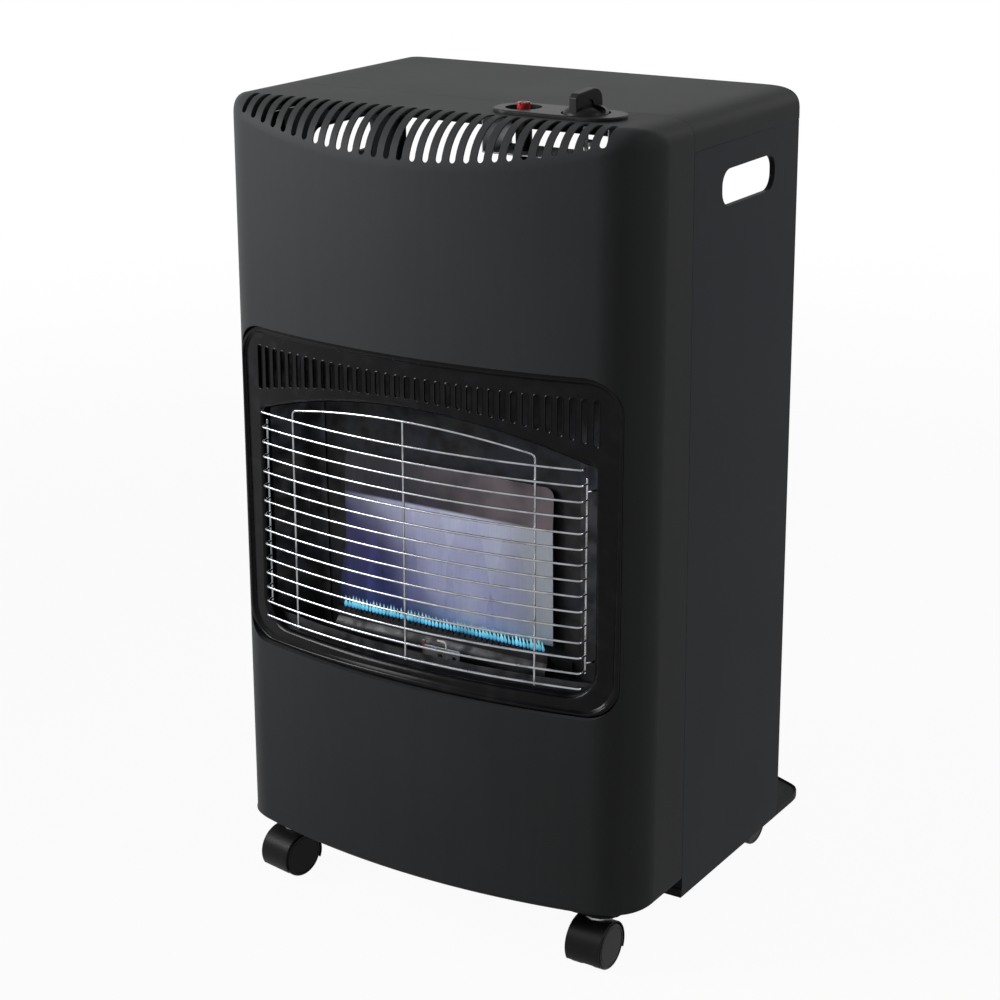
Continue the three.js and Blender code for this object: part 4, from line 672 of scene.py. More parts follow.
def prism(outline: Sequence[Pair], axis: str, start: float, end: float) -> Shape:
    """Pushes an outline along an axis.

    Args:
        outline: its two coordinates are (x, y) along z, (x, z) along y and (y, z) along x.
        axis: x, y or z.
        start: where it begins on that axis.
        end: where it ends.

    Returns:
        The shape.
    """
    flat = np.array(outline, float)
    order = {"z": (0, 1, 2), "y": (0, 2, 1), "x": (2, 0, 1)}[axis]

    def at(place: float) -> Points:
        """The outline at one place on the axis."""
        columns = np.column_stack([flat, np.full(len(flat), place)])
        return columns[:, order]

    return loft([at(start), at(end)], ends=True)


def turned(
    profile: Sequence[Pair],
    centre: Triple,
    axis: str = "z",
    segments: int = 48,
) -> Shape:
    """Turns a profile round an axis.

    Args:
        profile: radius and place along the axis, from axis to axis.
        centre: where the profile's zero lies.
        axis: x or z.
        segments: faces round the axis.

    Returns:
        The shape.
    """
    angles = np.linspace(0, 2 * math.pi, segments, endpoint=False)
    loops = []
    for radius, along in profile:
        u, v = radius * np.cos(angles), radius * np.sin(angles)
        w = np.full(segments, along)
        columns = (u, v, w) if axis == "z" else (w, u, v)
        loops.append(np.column_stack(columns) + np.array(centre))
    return loft(loops)


def rounded_rectangle(
    x0: float, x1: float, y0: float, y1: float, radius: float, steps: int = 10
) -> list[Pair]:
    """A rectangle's outline with round corners.

    Args:
        x0: lowest first coordinate.
        x1: highest first coordinate.
        y0: lowest second coordinate.
        y1: highest second coordinate.
        radius: of the corners.
        steps: edges in each corner.

    Returns:
        The outline, counter-clockwise.
    """
    outline = []
    left, right, low, high = x0 + radius, x1 - radius, y0 + radius, y1 - radius
    for quarter, (cx, cy) in enumerate([(right, low), (right, high), (left, high), (left, low)]):
        for step in range(steps + 1):
            angle = QUARTER * (quarter - 1 + step / steps)
            outline.append((cx + radius * math.cos(angle), cy + radius * math.sin(angle)))
    return outline


def quarter_turn(count: int) -> Points:
    """Angles from 0 to a quarter turn."""
    return np.linspace(0, QUARTER, count)


def drum(radius: float, low: float, high: float) -> list[Pair]:
    """The profile of a plain cylinder."""
    return [(0, low), (radius, low), (radius, high), (0, high)]


def upright(flat: Points, depth: Points) -> Points:
    """Points from their places seen from the front, (x, z), and their depths."""
    return np.column_stack([flat[:, 0], depth, flat[:, 1]])


def row_of(count: int, pitch: float) -> Iterator[Pair]:
    """Each member of a row about the middle: its place, and its share of the way out, squared."""
    middle = (count - 1) / 2
    for i in range(count):
        yield (i - middle) * pitch, ((i - middle) / middle) ** 2


def rounded_path(corners: Sequence[Sequence[float]], radius: float, steps: int = 6) -> Points:
    """A run of points whose corners are rounded.

    Args:
        corners: the corners, in order.
        radius: how far from each corner the bend begins.
        steps: points in a bend.

    Returns:
        The points.
    """
    line = [Vector(c) for c in corners]
    path = [line[0]]
    for before, corner, after in zip(line, line[1:], line[2:]):
        reach = min(radius, (before - corner).length / 2, (after - corner).length / 2)
        start = corner + (before - corner).normalized() * reach
        end = corner + (after - corner).normalized() * reach
        for step in range(steps + 1):
            share = step / steps
            path.append(start.lerp(corner, share).lerp(corner.lerp(end, share), share))
    path.append(line[-1])
    return np.array([tuple(p) for p in path])


# ---------------------------------------------------------------- pieces
class Workshop:
    """Turns shapes into finished pieces of the frame."""

    frame: dict[str, object] = {}
    seam: float = 0.0
    refined_flat: float = math.radians(0.3)
    refined_sharp: float = 40

    @classmethod
    def open(cls) -> None:
        """Loads the frame and finds where its seam lies."""
        cls.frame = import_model()
        cls.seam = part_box("front_shell")[1].y / MM

    @classmethod
    def in_frame(cls, points: Points) -> Points:
        """Points in metres, in the frame, from millimetres from the seam."""
        return (np.asarray(points, float) + np.array([0, cls.seam, 0])) * MM

    @classmethod
    def raw(cls, name: str, shape: Shape) -> bpy.types.Object:
        """An object from a shape, with its doubles merged and its faces turned outwards.

        Args:
            name: the object's name.
            shape: its points and faces.

        Returns:
            The object.
        """
        mesh = bpy.data.meshes.new(name)
        mesh.from_pydata(cls.in_frame(shape.points).tolist(), [], shape.faces)
        grown = bmesh.new()
        grown.from_mesh(mesh)
        bmesh.ops.remove_doubles(grown, verts=grown.verts, dist=MERGE * MM)
        bmesh.ops.dissolve_degenerate(grown, edges=grown.edges, dist=MERGE / 2 * MM)
        bmesh.ops.recalc_face_normals(grown, faces=grown.faces)
        grown.to_mesh(mesh)
        grown.free()
        return cls.linked(name, mesh)

    @staticmethod
    def linked(name: str, data: bpy.types.ID) -> bpy.types.Object:
        """An object that is in the scene."""
        made = bpy.data.objects.new(name, data)
        bpy.context.scene.collection.objects.link(made)
        return made

    @staticmethod
    def bake(made: bpy.types.Object) -> bpy.types.Object:
        """Replaces an object's mesh with what its modifiers make of it."""
        bpy.context.view_layer.update()
        graph = bpy.context.evaluated_depsgraph_get()
        mesh = bpy.data.meshes.new_from_object(made.evaluated_get(graph), depsgraph=graph)
        made.modifiers.clear()
        made.data = mesh
        return made

    @classmethod
    def boolean(
        cls, made: bpy.types.Object, others: Iterable[bpy.types.Object], operation: str
    ) -> bpy.types.Object:
        """Cuts or joins objects into one, and removes the others.

        Args:
            made: the object that is changed.
            others: the cutters or the added bodies.
            operation: DIFFERENCE or UNION.

        Returns:
            The changed object.
        """
        others = list(others)
        for other in others:
            modifier = made.modifiers.new("boolean", "BOOLEAN")
            modifier.operation = operation
            modifier.solver = "EXACT"
            modifier.use_self = True
            modifier.object = other
        cls.bake(made)
        for other in others:
            bpy.data.objects.remove(other)
        return made

    @classmethod
    def crossed(
        cls, name: str, centre: Pair, arms: Pair, low: float, high: float
    ) -> list[bpy.types.Object]:
        """Cutters for two upright slots that cross.

        Args:
            name: the cutters' name.
            centre: (x, y) of the crossing, in millimetres from the seam.
            arms: half of a slot's length and half of its width.
            low: height of the slots' floor.
            high: height of the cutters' top.

        Returns:
            The two cutters.
        """
        x, y = centre
        cutters = []
        for a, b in (arms, arms[::-1]):
            outline = [(x - a, y - b), (x + a, y - b), (x + a, y + b), (x - a, y + b)]
            cutters.append(cls.raw(name, prism(outline, "z", low, high)))
        return cutters

    @classmethod
    def bevel(cls, made: bpy.types.Object, width: float, angle: float = 35, steps: int = 2) -> None:
        """Softens the sharp edges of an object.

        Args:
            made: the object.
            width: of the softened edge, in millimetres.
            angle: edges sharper than this, in degrees, are softened.
            steps: faces across the softened edge.
        """
        modifier = made.modifiers.new("bevel", "BEVEL")
        modifier.width = width * MM
        modifier.segments = steps
        modifier.limit_method = "ANGLE"
        modifier.angle_limit = math.radians(angle)
        modifier.use_clamp_overlap = True
        cls.bake(made)

    @classmethod
    def finish(
        cls,
        made: bpy.types.Object,
        finish: Finish,
        body: str,
        slot: Slot,
        replaces: Sequence[str] = (),
        sharp: float = 35,
    ) -> bpy.types.Object:
        """Shades a piece, gives it its finish and fixes it to its body.

        Args:
            made: the piece.
            finish: what it is made of.
            body: the body that it moves with.
            slot: the record's slot that the finish stands for; not used.
            replaces: the CAD nodes that it stands for.
            sharp: edges sharper than this, in degrees, are shaded sharp.

        Returns:
            The piece.
        """
        made.data.materials.clear()
        made.data.materials.append(finish.material())
        made.data.shade_smooth()
        made.data.set_sharp_from_angle(angle=math.radians(sharp))
        made.modifiers.new("even shading", "WEIGHTED_NORMAL").keep_sharp = True
        cls.bake(made)
        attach(made, body)
        if replaces:
            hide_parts(*replaces)
        LOG.info("%s: %d faces, on %s", made.name, len(made.data.polygons), body)
        return made

    @classmethod
    def refine(
        cls, node: str, finish: Finish, slot: Slot, soften: float = 0.25, body: str = Body.CABINET.value
    ) -> bpy.types.Object:
        """Stands a softened copy in for a CAD node whose shape is right.

        Args:
            node: the node.
            finish: what it is made of.
            slot: the record's slot.
            soften: width of its softened edges, in millimetres; 0 leaves them.
            body: the body that it moves with.

        Returns:
            The piece.
        """
        mesh = cls.frame["nodes"][node].data.copy()
        grown = bmesh.new()
        grown.from_mesh(mesh)
        bmesh.ops.remove_doubles(grown, verts=grown.verts, dist=MERGE / 2 * MM)
        bmesh.ops.dissolve_limit(
            grown, angle_limit=cls.refined_flat, verts=grown.verts, edges=grown.edges
        )
        for edge in grown.edges:
            edge.smooth = True
        grown.to_mesh(mesh)
        grown.free()
        made = cls.linked(node + "_dressed", mesh)
        if soften:
            cls.bevel(made, soften, cls.refined_sharp)
        return cls.finish(made, finish, body, slot, [node], cls.refined_sharp)


class Pattern(Graph):
    """A Geometry Nodes tree with named inputs, run on an object and left as a plain mesh."""

    def __init__(self, name: str, inputs: dict[str, str]) -> None:
        """Starts a tree.

        Args:
            name: the tree's name.
            inputs: each input's name and type of socket.
        """
        tree = bpy.data.node_groups.new(name, "GeometryNodeTree")
        super().__init__(tree)
        self.identifiers: dict[str, str] = {}
        tree.interface.new_socket("Geometry", in_out="INPUT", socket_type="NodeSocketGeometry")
        for label, kind in {**inputs, "Finish": "NodeSocketMaterial"}.items():
            socket = tree.interface.new_socket(label, in_out="INPUT", socket_type=kind)
            self.identifiers[label] = socket.identifier
        tree.interface.new_socket("Geometry", in_out="OUTPUT", socket_type="NodeSocketGeometry")
        self.source = tree.nodes.new("NodeGroupInput")

    def given(self, label: str) -> Value:
        """One of the tree's inputs."""
        return Value(self, self.source.outputs[label])

    def end(self, geometry: Value) -> None:
        """Realizes the instances, sets their finish and ends the tree."""
        real = self.node("GeometryNodeRealizeInstances", inputs={0: geometry})
        inputs = {0: real, "Material": self.given("Finish")}
        dressed = self.node("GeometryNodeSetMaterial", inputs=inputs)
        self.node("NodeGroupOutput", inputs={0: dressed})

    def run(self, made: bpy.types.Object, finish: Finish, **values: object) -> bpy.types.Object:
        """Runs the tree on an object.

        Args:
            made: the object whose mesh is replaced.
            finish: the material that the tree sets.
            values: the inputs, with underscores for spaces in their names.

        Returns:
            The object.
        """
        modifier = made.modifiers.new(self.tree.name, "NODES")
        modifier.node_group = self.tree
        modifier[self.identifiers["Finish"]] = finish.material()
        for label, value in values.items():
            modifier[self.identifiers[label.replace("_", " ")]] = value
        return Workshop.bake(made)


class Rods(Pattern):
    """Round rods along paths, with round ends: wires, pipes and the cutters of slots."""

    def __init__(self) -> None:
        """Builds the tree."""
        super().__init__("rods along paths", {"Radius": "NodeSocketFloat", "Sides": "NodeSocketInt"})
        curve = self.node("GeometryNodeMeshToCurve", inputs={0: self.given("Geometry")})
        section = self.node(
            "GeometryNodeCurvePrimitiveCircle",
            {"mode": "RADIUS"},
            {"Resolution": self.given("Sides"), "Radius": self.given("Radius")},
        )
        inputs = {"Curve": curve, "Profile Curve": section, "Fill Caps": True}
        rods = self.node("GeometryNodeCurveToMesh", inputs=inputs)
        ball = self.node(
            "GeometryNodeMeshUVSphere",
            inputs={"Segments": self.given("Sides"), "Rings": 8, "Radius": self.given("Radius")},
        )
        tips = self.node("GeometryNodeCurveEndpointSelection", inputs={0: 1, 1: 1})
        inputs = {"Points": curve, "Selection": tips, "Instance": ball}
        caps = self.node("GeometryNodeInstanceOnPoints", inputs=inputs)
        self.end(self.joined(rods, caps))

    def joined(self, *parts: Value) -> Value:
        """Joins geometries into one."""
        made = self.tree.nodes.new("GeometryNodeJoinGeometry")
        for part in parts:
            self.tree.links.new(part.socket, made.inputs[0])
        return Value(self, made.outputs[0])

    def along(
        self, name: str, paths: Iterable[Points], radius: float, sides: int, finish: Finish
    ) -> bpy.types.Object:
        """Makes rods along paths.

        Args:
            name: the object's name.
            paths: runs of points, in millimetres from the seam.
            radius: of the rods, in millimetres.
            sides: faces round a rod.
            finish: what they are made of.

        Returns:
            The object.
        """
        points: list[Points] = []
        edges: list[tuple[int, int]] = []
        start = 0
        for path in paths:
            points.append(Workshop.in_frame(path))
            edges += [(start + i, start + i + 1) for i in range(len(path) - 1)]
            start += len(path)
        mesh = bpy.data.meshes.new(name)
        mesh.from_pydata(np.vstack(points).tolist(), edges, [])
        return self.run(Workshop.linked(name, mesh), finish, Radius=radius * MM, Sides=sides)


class Scatter(Pattern):
    """Copies of one object on points, each facing its own way and given its own size."""

    def __init__(self) -> None:
        """Builds the tree."""
        super().__init__(
            "copies on points",
            {"Copied": "NodeSocketObject", "Seed": "NodeSocketInt", "Spread": "NodeSocketFloat"},
        )
        settings = {"transform_space": "ORIGINAL"}
        copied = self.node("GeometryNodeObjectInfo", settings, {0: self.given("Copied")}, "Geometry")
        settings = {"data_type": "FLOAT_VECTOR"}
        facing = self.node("GeometryNodeInputNamedAttribute", settings, {"Name": "facing"})
        turn = self.node("FunctionNodeAlignRotationToVector", {"axis": "Z"}, {"Vector": facing})
        spread = self.given("Spread")
        size = self.drawn(1 - spread, 1 + spread)
        inputs = {"Points": self.given("Geometry"), "Instance": copied, "Rotation": turn, "Scale": size}
        copies = self.node("GeometryNodeInstanceOnPoints", inputs=inputs)
        about = self.node("ShaderNodeCombineXYZ", inputs={"Z": self.drawn(0.0, 2 * math.pi)})
        self.end(self.node("GeometryNodeRotateInstances", inputs={0: copies, "Rotation": about}))

    def drawn(self, low: Value | float, high: Value | float) -> Value:
        """A number for each copy, drawn from the seed between two limits."""
        settings, inputs = {"data_type": "FLOAT"}, {2: low, 3: high, "Seed": self.given("Seed")}
        return self.node("FunctionNodeRandomValue", settings, inputs, 1)

    def on(
        self,
        name: str,
        copied: bpy.types.Object,
        places: Sequence[Sequence[float]],
        facing: Sequence[Sequence[float]],
        finish: Finish,
        spread: float = 0.0,
        seed: int = 7,
    ) -> bpy.types.Object:
        """Puts copies on points, and removes the object that was copied.

        Args:
            name: the object's name.
            copied: drawn round its own zero, with its top along +Z, in metres.
            places: where the copies stand, in millimetres from the seam.
            facing: which way each copy's top points.
            finish: what they are made of.
            spread: how far the sizes differ, as a share.
            seed: fixes what is random.

        Returns:
            The object.
        """
        mesh = bpy.data.meshes.new(name)
        mesh.from_pydata(Workshop.in_frame(np.array(places)).tolist(), [], [])
        attribute = mesh.attributes.new("facing", "FLOAT_VECTOR", "POINT")
        attribute.data.foreach_set("vector", np.array(facing, np.float32).ravel())
        made = Workshop.linked(name, mesh)
        self.run(made, finish, Copied=copied, Seed=seed, Spread=spread)
        bpy.data.objects.remove(copied)
        return made


# ---------------------------------------------------------------- front
@dataclass(frozen=True)
class Bow:
    """The bowed front face that the shell, the surround and the guard share."""

    width: float = 420
    height: float = 728
    bottom: float = 58.8
    radius: float = 707
    depth: float = 119.6
    lean: float = math.tan(math.radians(0.97))
    side_rounding: float = 38
    top_flat: float = 65

    def front(self, x: Points | float, z: Points | float) -> Points:
        """Depth of the face at a place seen from the front, in millimetres from the seam."""
        bow = self.radius - np.sqrt(self.radius**2 - np.square(x))
        return -self.depth + bow + (np.asarray(z) - self.bottom) * self.lean

    def shell(self, x: Points | float, z: Points | float) -> Points:
        """Depth of the shell's outside, with its upright corners turned."""
        past = np.maximum(np.abs(x) - (self.width / 2 - self.side_rounding), 0)
        return self.front(x, z) + self.side_rounding - np.sqrt(self.side_rounding**2 - past**2)

    def shoulder_radius(self, x: Points | float) -> Points:
        """How far the shoulder falls over the front at a place across it."""
        return -self.top_flat - self.front(x, self.height)

    def shoulder(self, x: float, z: Points) -> Points:
        """Depth of the shoulder over the front at heights above its foot."""
        radius = self.shoulder_radius(x)
        rise = np.maximum(np.asarray(z) - (self.height - radius), 0) / radius
        return self.front(x, z) + radius * (1 - np.sqrt(np.maximum(1 - rise**2, 0)))


@dataclass(frozen=True)
class Opening:
    """The outline of a window: straight foot, round corners and an arched head."""

    half_width: float
    bottom: float
    side_top: float
    crown: float
    lower: float
    upper: float
    edge_steps: int = 40
    corner_steps: int = 12

    def outline(self, margin: float = 0.0) -> Points:
        """Points (x, z) round the outline, from the middle of its foot to the right.

        Args:
            margin: how far the outline is moved outwards.

        Returns:
            The points, as many for each outline with the same steps.
        """
        foot = self.half_width - self.lower
        head = self.half_width - self.upper
        right = [(foot * i / self.edge_steps, self.bottom - margin) for i in range(self.edge_steps)]
        for centre_x, centre_z, radius, start in (
            (foot, self.bottom + self.lower, self.lower, -QUARTER),
            (head, self.side_top, self.upper, 0.0),
        ):
            for step in range(self.corner_steps + 1):
                angle = start + QUARTER * step / self.corner_steps
                reach = radius + margin
                right.append((centre_x + reach * math.cos(angle), centre_z + reach * math.sin(angle)))
        for i in range(self.edge_steps - 1, -1, -1):
            across = i / self.edge_steps
            fall = (self.crown - self.side_top - self.upper) * across**2
            right.append((head * across, self.crown - fall + margin))
        left = [(-x, z) for x, z in reversed(right[1:-1])]
        return np.array(right + left)


BOW = Bow()
WINDOW = Opening(193, 239, 502, 532, 28, 30)
FIRE = Opening(170, 254, 449, 484, 26, 7)


@dataclass
class FrontShell:
    """The pressed front: a bowed pan with outlet slots over its shoulder and a flanged window."""

    bottom_rounding: float = 6
    foot_squareness: float = 6
    top_squareness: float = 3.3
    face_steps: int = 36
    corner_steps: int = 14
    rounding_rings: int = 14
    slots: int = 29
    slot_pitch: float = 12.479
    slot_radius: float = 3
    slot_drop: Pair = (35, 13.5)
    flange: float = 8
    window_cut: float = -240
    cups: tuple[Pair, ...] = ((131, 21.5), (73, 16.5))
    cups_y: float = -35
    cups_cut: Pair = (690, 735)

    def stations(self, inset: float) -> tuple[Points, int, int]:
        """Where the edge rounding starts and ends all round the shell's outline.

        Args:
            inset: how far the skin lies inside the outside.

        Returns:
            Rows of start x, start z, end x, end z and fall; the number along half of the foot; and the
            number on the right half.
        """
        under, side = self.bottom_rounding - inset, BOW.side_rounding - inset
        flat, foot = BOW.width / 2 - BOW.side_rounding, BOW.bottom + self.bottom_rounding
        rows = []
        for i in range(self.face_steps + 1):
            x = flat * i / self.face_steps
            rows.append((x, foot, x, foot - under, under))
        half = len(rows)
        head = []
        for x, *_ in rows:
            radius = float(BOW.shoulder_radius(x))
            head.append((x, BOW.height - radius, x, BOW.height - inset, radius - inset))
        for i in range(1, self.corner_steps + 1):
            angle = i / self.corner_steps * QUARTER
            across = min(math.sin(angle), 1.0)
            down = under * (1 - across**self.foot_squareness) ** (1 / self.foot_squareness)
            back = side * (1 - math.cos(angle))
            rows.append((flat, foot, flat + side * across, foot - down, back + down))
        x, z, _, _, fall = head[-1]
        for i in range(self.corner_steps):
            angle = i / self.corner_steps * QUARTER
            across = math.cos(angle) ** (2 / self.top_squareness)
            up = math.sin(angle) ** (2 / self.top_squareness)
            blend = side * math.cos(angle) ** 2 + fall * math.sin(angle) ** 2
            rows.append((x, z, x + side * across, z + fall * up, blend))
        rows += reversed(head)
        right = len(rows)
        rows += [(-a, b, -c, d, e) for a, b, c, d, e in reversed(rows[1:-1])]
        return np.array(rows), half, right

    def skin(self, inset: float) -> list[Points]:
        """Loops of points from the flat of the face, over its edge and back to the seam."""
        rows, _, _ = self.stations(inset)
        start, end, fall = rows[:, 0:2], rows[:, 2:4], rows[:, 4]
        loops = []
        for ring in range(self.rounding_rings + 1):
            angle = ring / self.rounding_rings * QUARTER
            flat = start + (end - start) * math.sin(angle)
            loops.append(upright(flat, BOW.front(*flat.T) + inset + fall * (1 - math.cos(angle))))
        return [*loops, upright(flat, np.zeros(len(rows)))]

    def pan(self) -> Shape:
        """The pan without its openings: an outer and an inner skin, and the face of each."""
        _, half, right = self.stations(0)
        outer, inner = self.skin(0), self.skin(SHEET)
        wall = loft([*outer, *reversed(inner)])
        count = len(outer[0])
        faces = list(wall.faces)
        for base in (0, len(wall.points) - count):
            for i in range(half - 1):
                up = right - 1 - i
                faces.append((base + i, base + i + 1, base + up - 1, base + up))
                down = [0 if j == 0 else count - j for j in (i, i + 1)]
                faces.append(
                    (base + down[1], base + down[0], base + right - 1 + i, base + (right + i) % count)
                )
        return Shape(wall.points, faces)

    def slot_paths(self) -> list[Points]:
        """The line of each outlet slot over the shoulder, through the middle of the sheet."""
        paths = []
        for x, share in row_of(self.slots, self.slot_pitch):
            drop = self.slot_drop[0] + (self.slot_drop[1] - self.slot_drop[0]) * share
            radius = float(BOW.shoulder_radius(x))
            foot = math.asin(min(1.0, (radius - drop) / radius)) if drop < radius else 0.0
            angles = np.linspace(foot + self.slot_radius / radius, QUARTER, 9)
            z = BOW.height - radius + (radius - SHEET / 2) * np.sin(angles)
            y = BOW.shoulder(x, BOW.height - radius) + radius - (radius - SHEET / 2) * np.cos(angles)
            paths.append(np.column_stack([np.full(len(z), x), y, z]))
        return paths

    def build(self, rods: Rods) -> None:
        """Cuts the slots, the window and the holes for the controls, and turns in the window's edge."""
        shell = Workshop.raw("front_shell_dressed", self.pan())
        slots = rods.along("slot_cutters", self.slot_paths(), self.slot_radius, 16, CHARCOAL)
        opening = prism(WINDOW.outline(), "y", self.window_cut, -self.flange)
        cutters = [slots, Workshop.raw("window_cutter", opening)]
        for x, r in self.cups:
            disc = rounded_rectangle(x - r, x + r, self.cups_y - r, self.cups_y + r, r, 12)
            cutters.append(Workshop.raw("cup_cutter", prism(disc, "z", *self.cups_cut)))
        Workshop.boolean(shell, cutters, "DIFFERENCE")

        def edge(margin: float, depth: float) -> Points:
            """A loop round the window, that far outside its edge and behind the face."""
            flat = WINDOW.outline(margin)
            return upright(flat, BOW.shell(*flat.T) + depth)

        flange = loft(
            [edge(0, FIT), edge(0, self.flange), edge(SHEET, self.flange), edge(SHEET, FIT)], ring=True
        )
        Workshop.boolean(shell, [Workshop.raw("window_flange", flange)], "UNION")
        Workshop.finish(shell, CHARCOAL, Body.CABINET.value, Slot.CHARCOAL, ["front_shell"])


@dataclass
class WindowSurround:
    """The gloss black frame of the fire: a beaded rim, a row of vents and a rolled lip."""

    set_back: float = 8
    bead: float = 3
    bead_radius: float = 1.6
    cove_start: float = 3.6
    cove_radius: float = 2.2
    face_from_rim: Pair = (7.6, 10)
    face_from_lip: Pair = (9, 6.5)
    skirt: float = 10
    lip: float = 12
    lip_roll: Pair = (6, 5)
    vents: int = 35
    vent_pitch: float = 10
    vent_width: float = 4.6
    vent_top: float = 512.5
    vent_length: Pair = (19, 39.5)
    rim_outside: float = 0.35
    rim_radius: float = 0.45

    def loops(self) -> list[Points]:
        """Loops round the frame, over its front and back along the underside of the sheet."""
        outer, inner = WINDOW.outline(-FIT), FIRE.outline()
        span = np.hypot(*(inner - outer).T)
        rise = self.set_back - self.bead

        def at(across: float, depth: float, from_inner: bool) -> Points:
            """A loop that far in from the rim, or out from the lip, and that far behind the bow."""
            share = 1 - across / span if from_inner else across / span
            flat = outer + (inner - outer) * share[:, None]
            return upright(flat, BOW.front(*flat.T) + depth)

        front: list[tuple[float, float, bool]] = [(0, self.set_back + self.skirt, False)]
        turn, radius, cove = quarter_turn(6), self.bead_radius, self.cove_radius
        front += [(radius * (1 - math.cos(a)), rise + radius * (1 - math.sin(a)), False) for a in turn]
        for a in turn[:5]:
            front.append((self.cove_start + cove * math.sin(a), rise + cove * (1 - math.cos(a)), False))
        front += [(across, self.set_back, False) for across in self.face_from_rim]
        front += [(across, self.set_back, True) for across in self.face_from_lip]
        long, deep = self.lip_roll
        for a in quarter_turn(8):
            front.append((long * (1 - math.sin(a)), self.set_back + deep * (1 - math.cos(a)), True))
        front.append((0, self.set_back + self.lip, True))
        count = len(front)
        back = []
        for index, (across, depth, from_inner) in enumerate(front):
            deeper = depth if index in (0, count - 1) else depth + SHEET
            back.append((max(across, SHEET), deeper, from_inner))
        return [at(*row) for row in front] + [at(*row) for row in reversed(back)]

    def vent_paths(self) -> list[Points]:
        """The line of each vent, through the face of the frame."""
        paths = []
        half = self.vent_width / 2
        for x, share in row_of(self.vents, self.vent_pitch):
            length = self.vent_length[0] + (self.vent_length[1] - self.vent_length[0]) * share
            z = np.linspace(self.vent_top - length + half, self.vent_top - half, 3)
            y = BOW.front(x, z) + self.set_back + SHEET / 2
            paths.append(np.column_stack([np.full(3, x), y, z]))
        return paths

    def rims(self) -> list[Points]:
        """A closed line round each vent, for its rolled edge."""
        lines = []
        half = self.vent_width / 2 + self.rim_outside
        turn = np.linspace(0, math.pi, 9)
        for path in self.vent_paths():
            x, low, high = path[0, 0], path[0, 2], path[-1, 2]
            line = [(x + half * math.cos(a), high + half * math.sin(a)) for a in turn]
            line += [(x + half * math.cos(a), low + half * math.sin(a)) for a in turn + math.pi]
            flat = np.array([*line, line[0]])
            lines.append(upright(flat, BOW.front(*flat.T) + self.set_back))
        return lines

    def build(self, rods: Rods) -> None:
        """Makes the frame, cuts its vents and rolls their edges."""
        frame = Workshop.raw("window_surround_dressed", loft(self.loops(), ring=True))
        cutters = rods.along("vent_cutters", self.vent_paths(), self.vent_width / 2, 16, GLOSS_BLACK)
        Workshop.boolean(frame, [cutters], "DIFFERENCE")
        cabinet = Body.CABINET.value
        Workshop.finish(frame, GLOSS_BLACK, cabinet, Slot.GLOSS, ["window_surround"])
        rims = rods.along("vent_rims", self.rims(), self.rim_radius, 6, GLOSS_BLACK)
        Workshop.finish(rims, GLOSS_BLACK, cabinet, Slot.GLOSS)


@dataclass
class WireGuard:
    """The chrome wire guard: bowed wires on side rods, a middle upright and an arched hoop."""

    wire: float = 2
    wires: int = 15
    top: float = 455.5
    pitch: float = 13.5
    half_width: float = 163
    turn_back: float = 8.5
    bend: float = 4
    hoop_half: float = 123
    hoop_bend: float = 5
    hoop_shoulder: float = 464
    hoop_crown: float = 476
    hoop_arched: float = 0.8
    hook_depth: float = 16
    weld: float = 0.8

    @staticmethod
    def at(x: Points | float, depth: float, z: Points | float) -> Points:
        """Points behind the bow, in millimetres from the seam."""
        x, z = np.broadcast_arrays(np.atleast_1d(np.asarray(x, float)), np.asarray(z, float))
        return np.column_stack([x, BOW.front(x, z) + depth, z])

    def paths(self) -> list[Points]:
        """The line of every wire."""
        weld = self.weld * self.wire
        heights = [self.top - i * self.pitch for i in range(self.wires)]
        paths = []
        for i, z in enumerate(heights):
            back = self.turn_back / (2 if i in (0, self.wires - 1) else 1)
            inner = self.at(np.linspace(-self.half_width, self.half_width, 29), 0, z)
            ends = [self.at(side * self.half_width, back, z) for side in (-1, 1)]
            paths.append(rounded_path(np.vstack([ends[0], inner, ends[1]]), self.bend, 5))
        rod_top, rod_foot = heights[1] + 2 * self.wire, heights[-2] - self.wire
        for side in (-1, 1):
            x = side * self.half_width
            paths.append(self.at(x, self.turn_back, np.array([rod_foot, rod_top])))
            hook = side * (FIRE.half_width - FIT - self.wire / 2)
            for z in (heights[1] - self.pitch / 2, heights[-2] + self.pitch / 2):
                ends = [self.at(x, self.turn_back, z), self.at(hook, self.hook_depth, z)]
                paths.append(np.vstack(ends))
        foot = heights[-1] - self.wire
        share = np.linspace(-self.hoop_arched, self.hoop_arched, 17)
        fall = (self.hoop_crown - self.hoop_shoulder) * share**2
        arch = self.at(share * self.hoop_half, weld, self.hoop_crown - fall)
        legs = [
            np.vstack([self.at(side * self.hoop_half, weld, z) for z in (foot, self.hoop_shoulder)])
            for side in (-1, 1)
        ]
        hoop = np.vstack([legs[0], arch, legs[1][::-1]])
        paths.append(rounded_path(hoop, self.hoop_bend))
        paths.append(self.at(0, weld, np.array([foot, self.hoop_crown])))
        return paths

    def build(self, rods: Rods) -> None:
        """Makes the guard as one piece of round wires."""
        guard = rods.along("wire_guard_dressed", self.paths(), self.wire / 2, 12, CHROME)
        Workshop.finish(guard, CHROME, Body.CABINET.value, Slot.CHROME, ["wire_guard"])


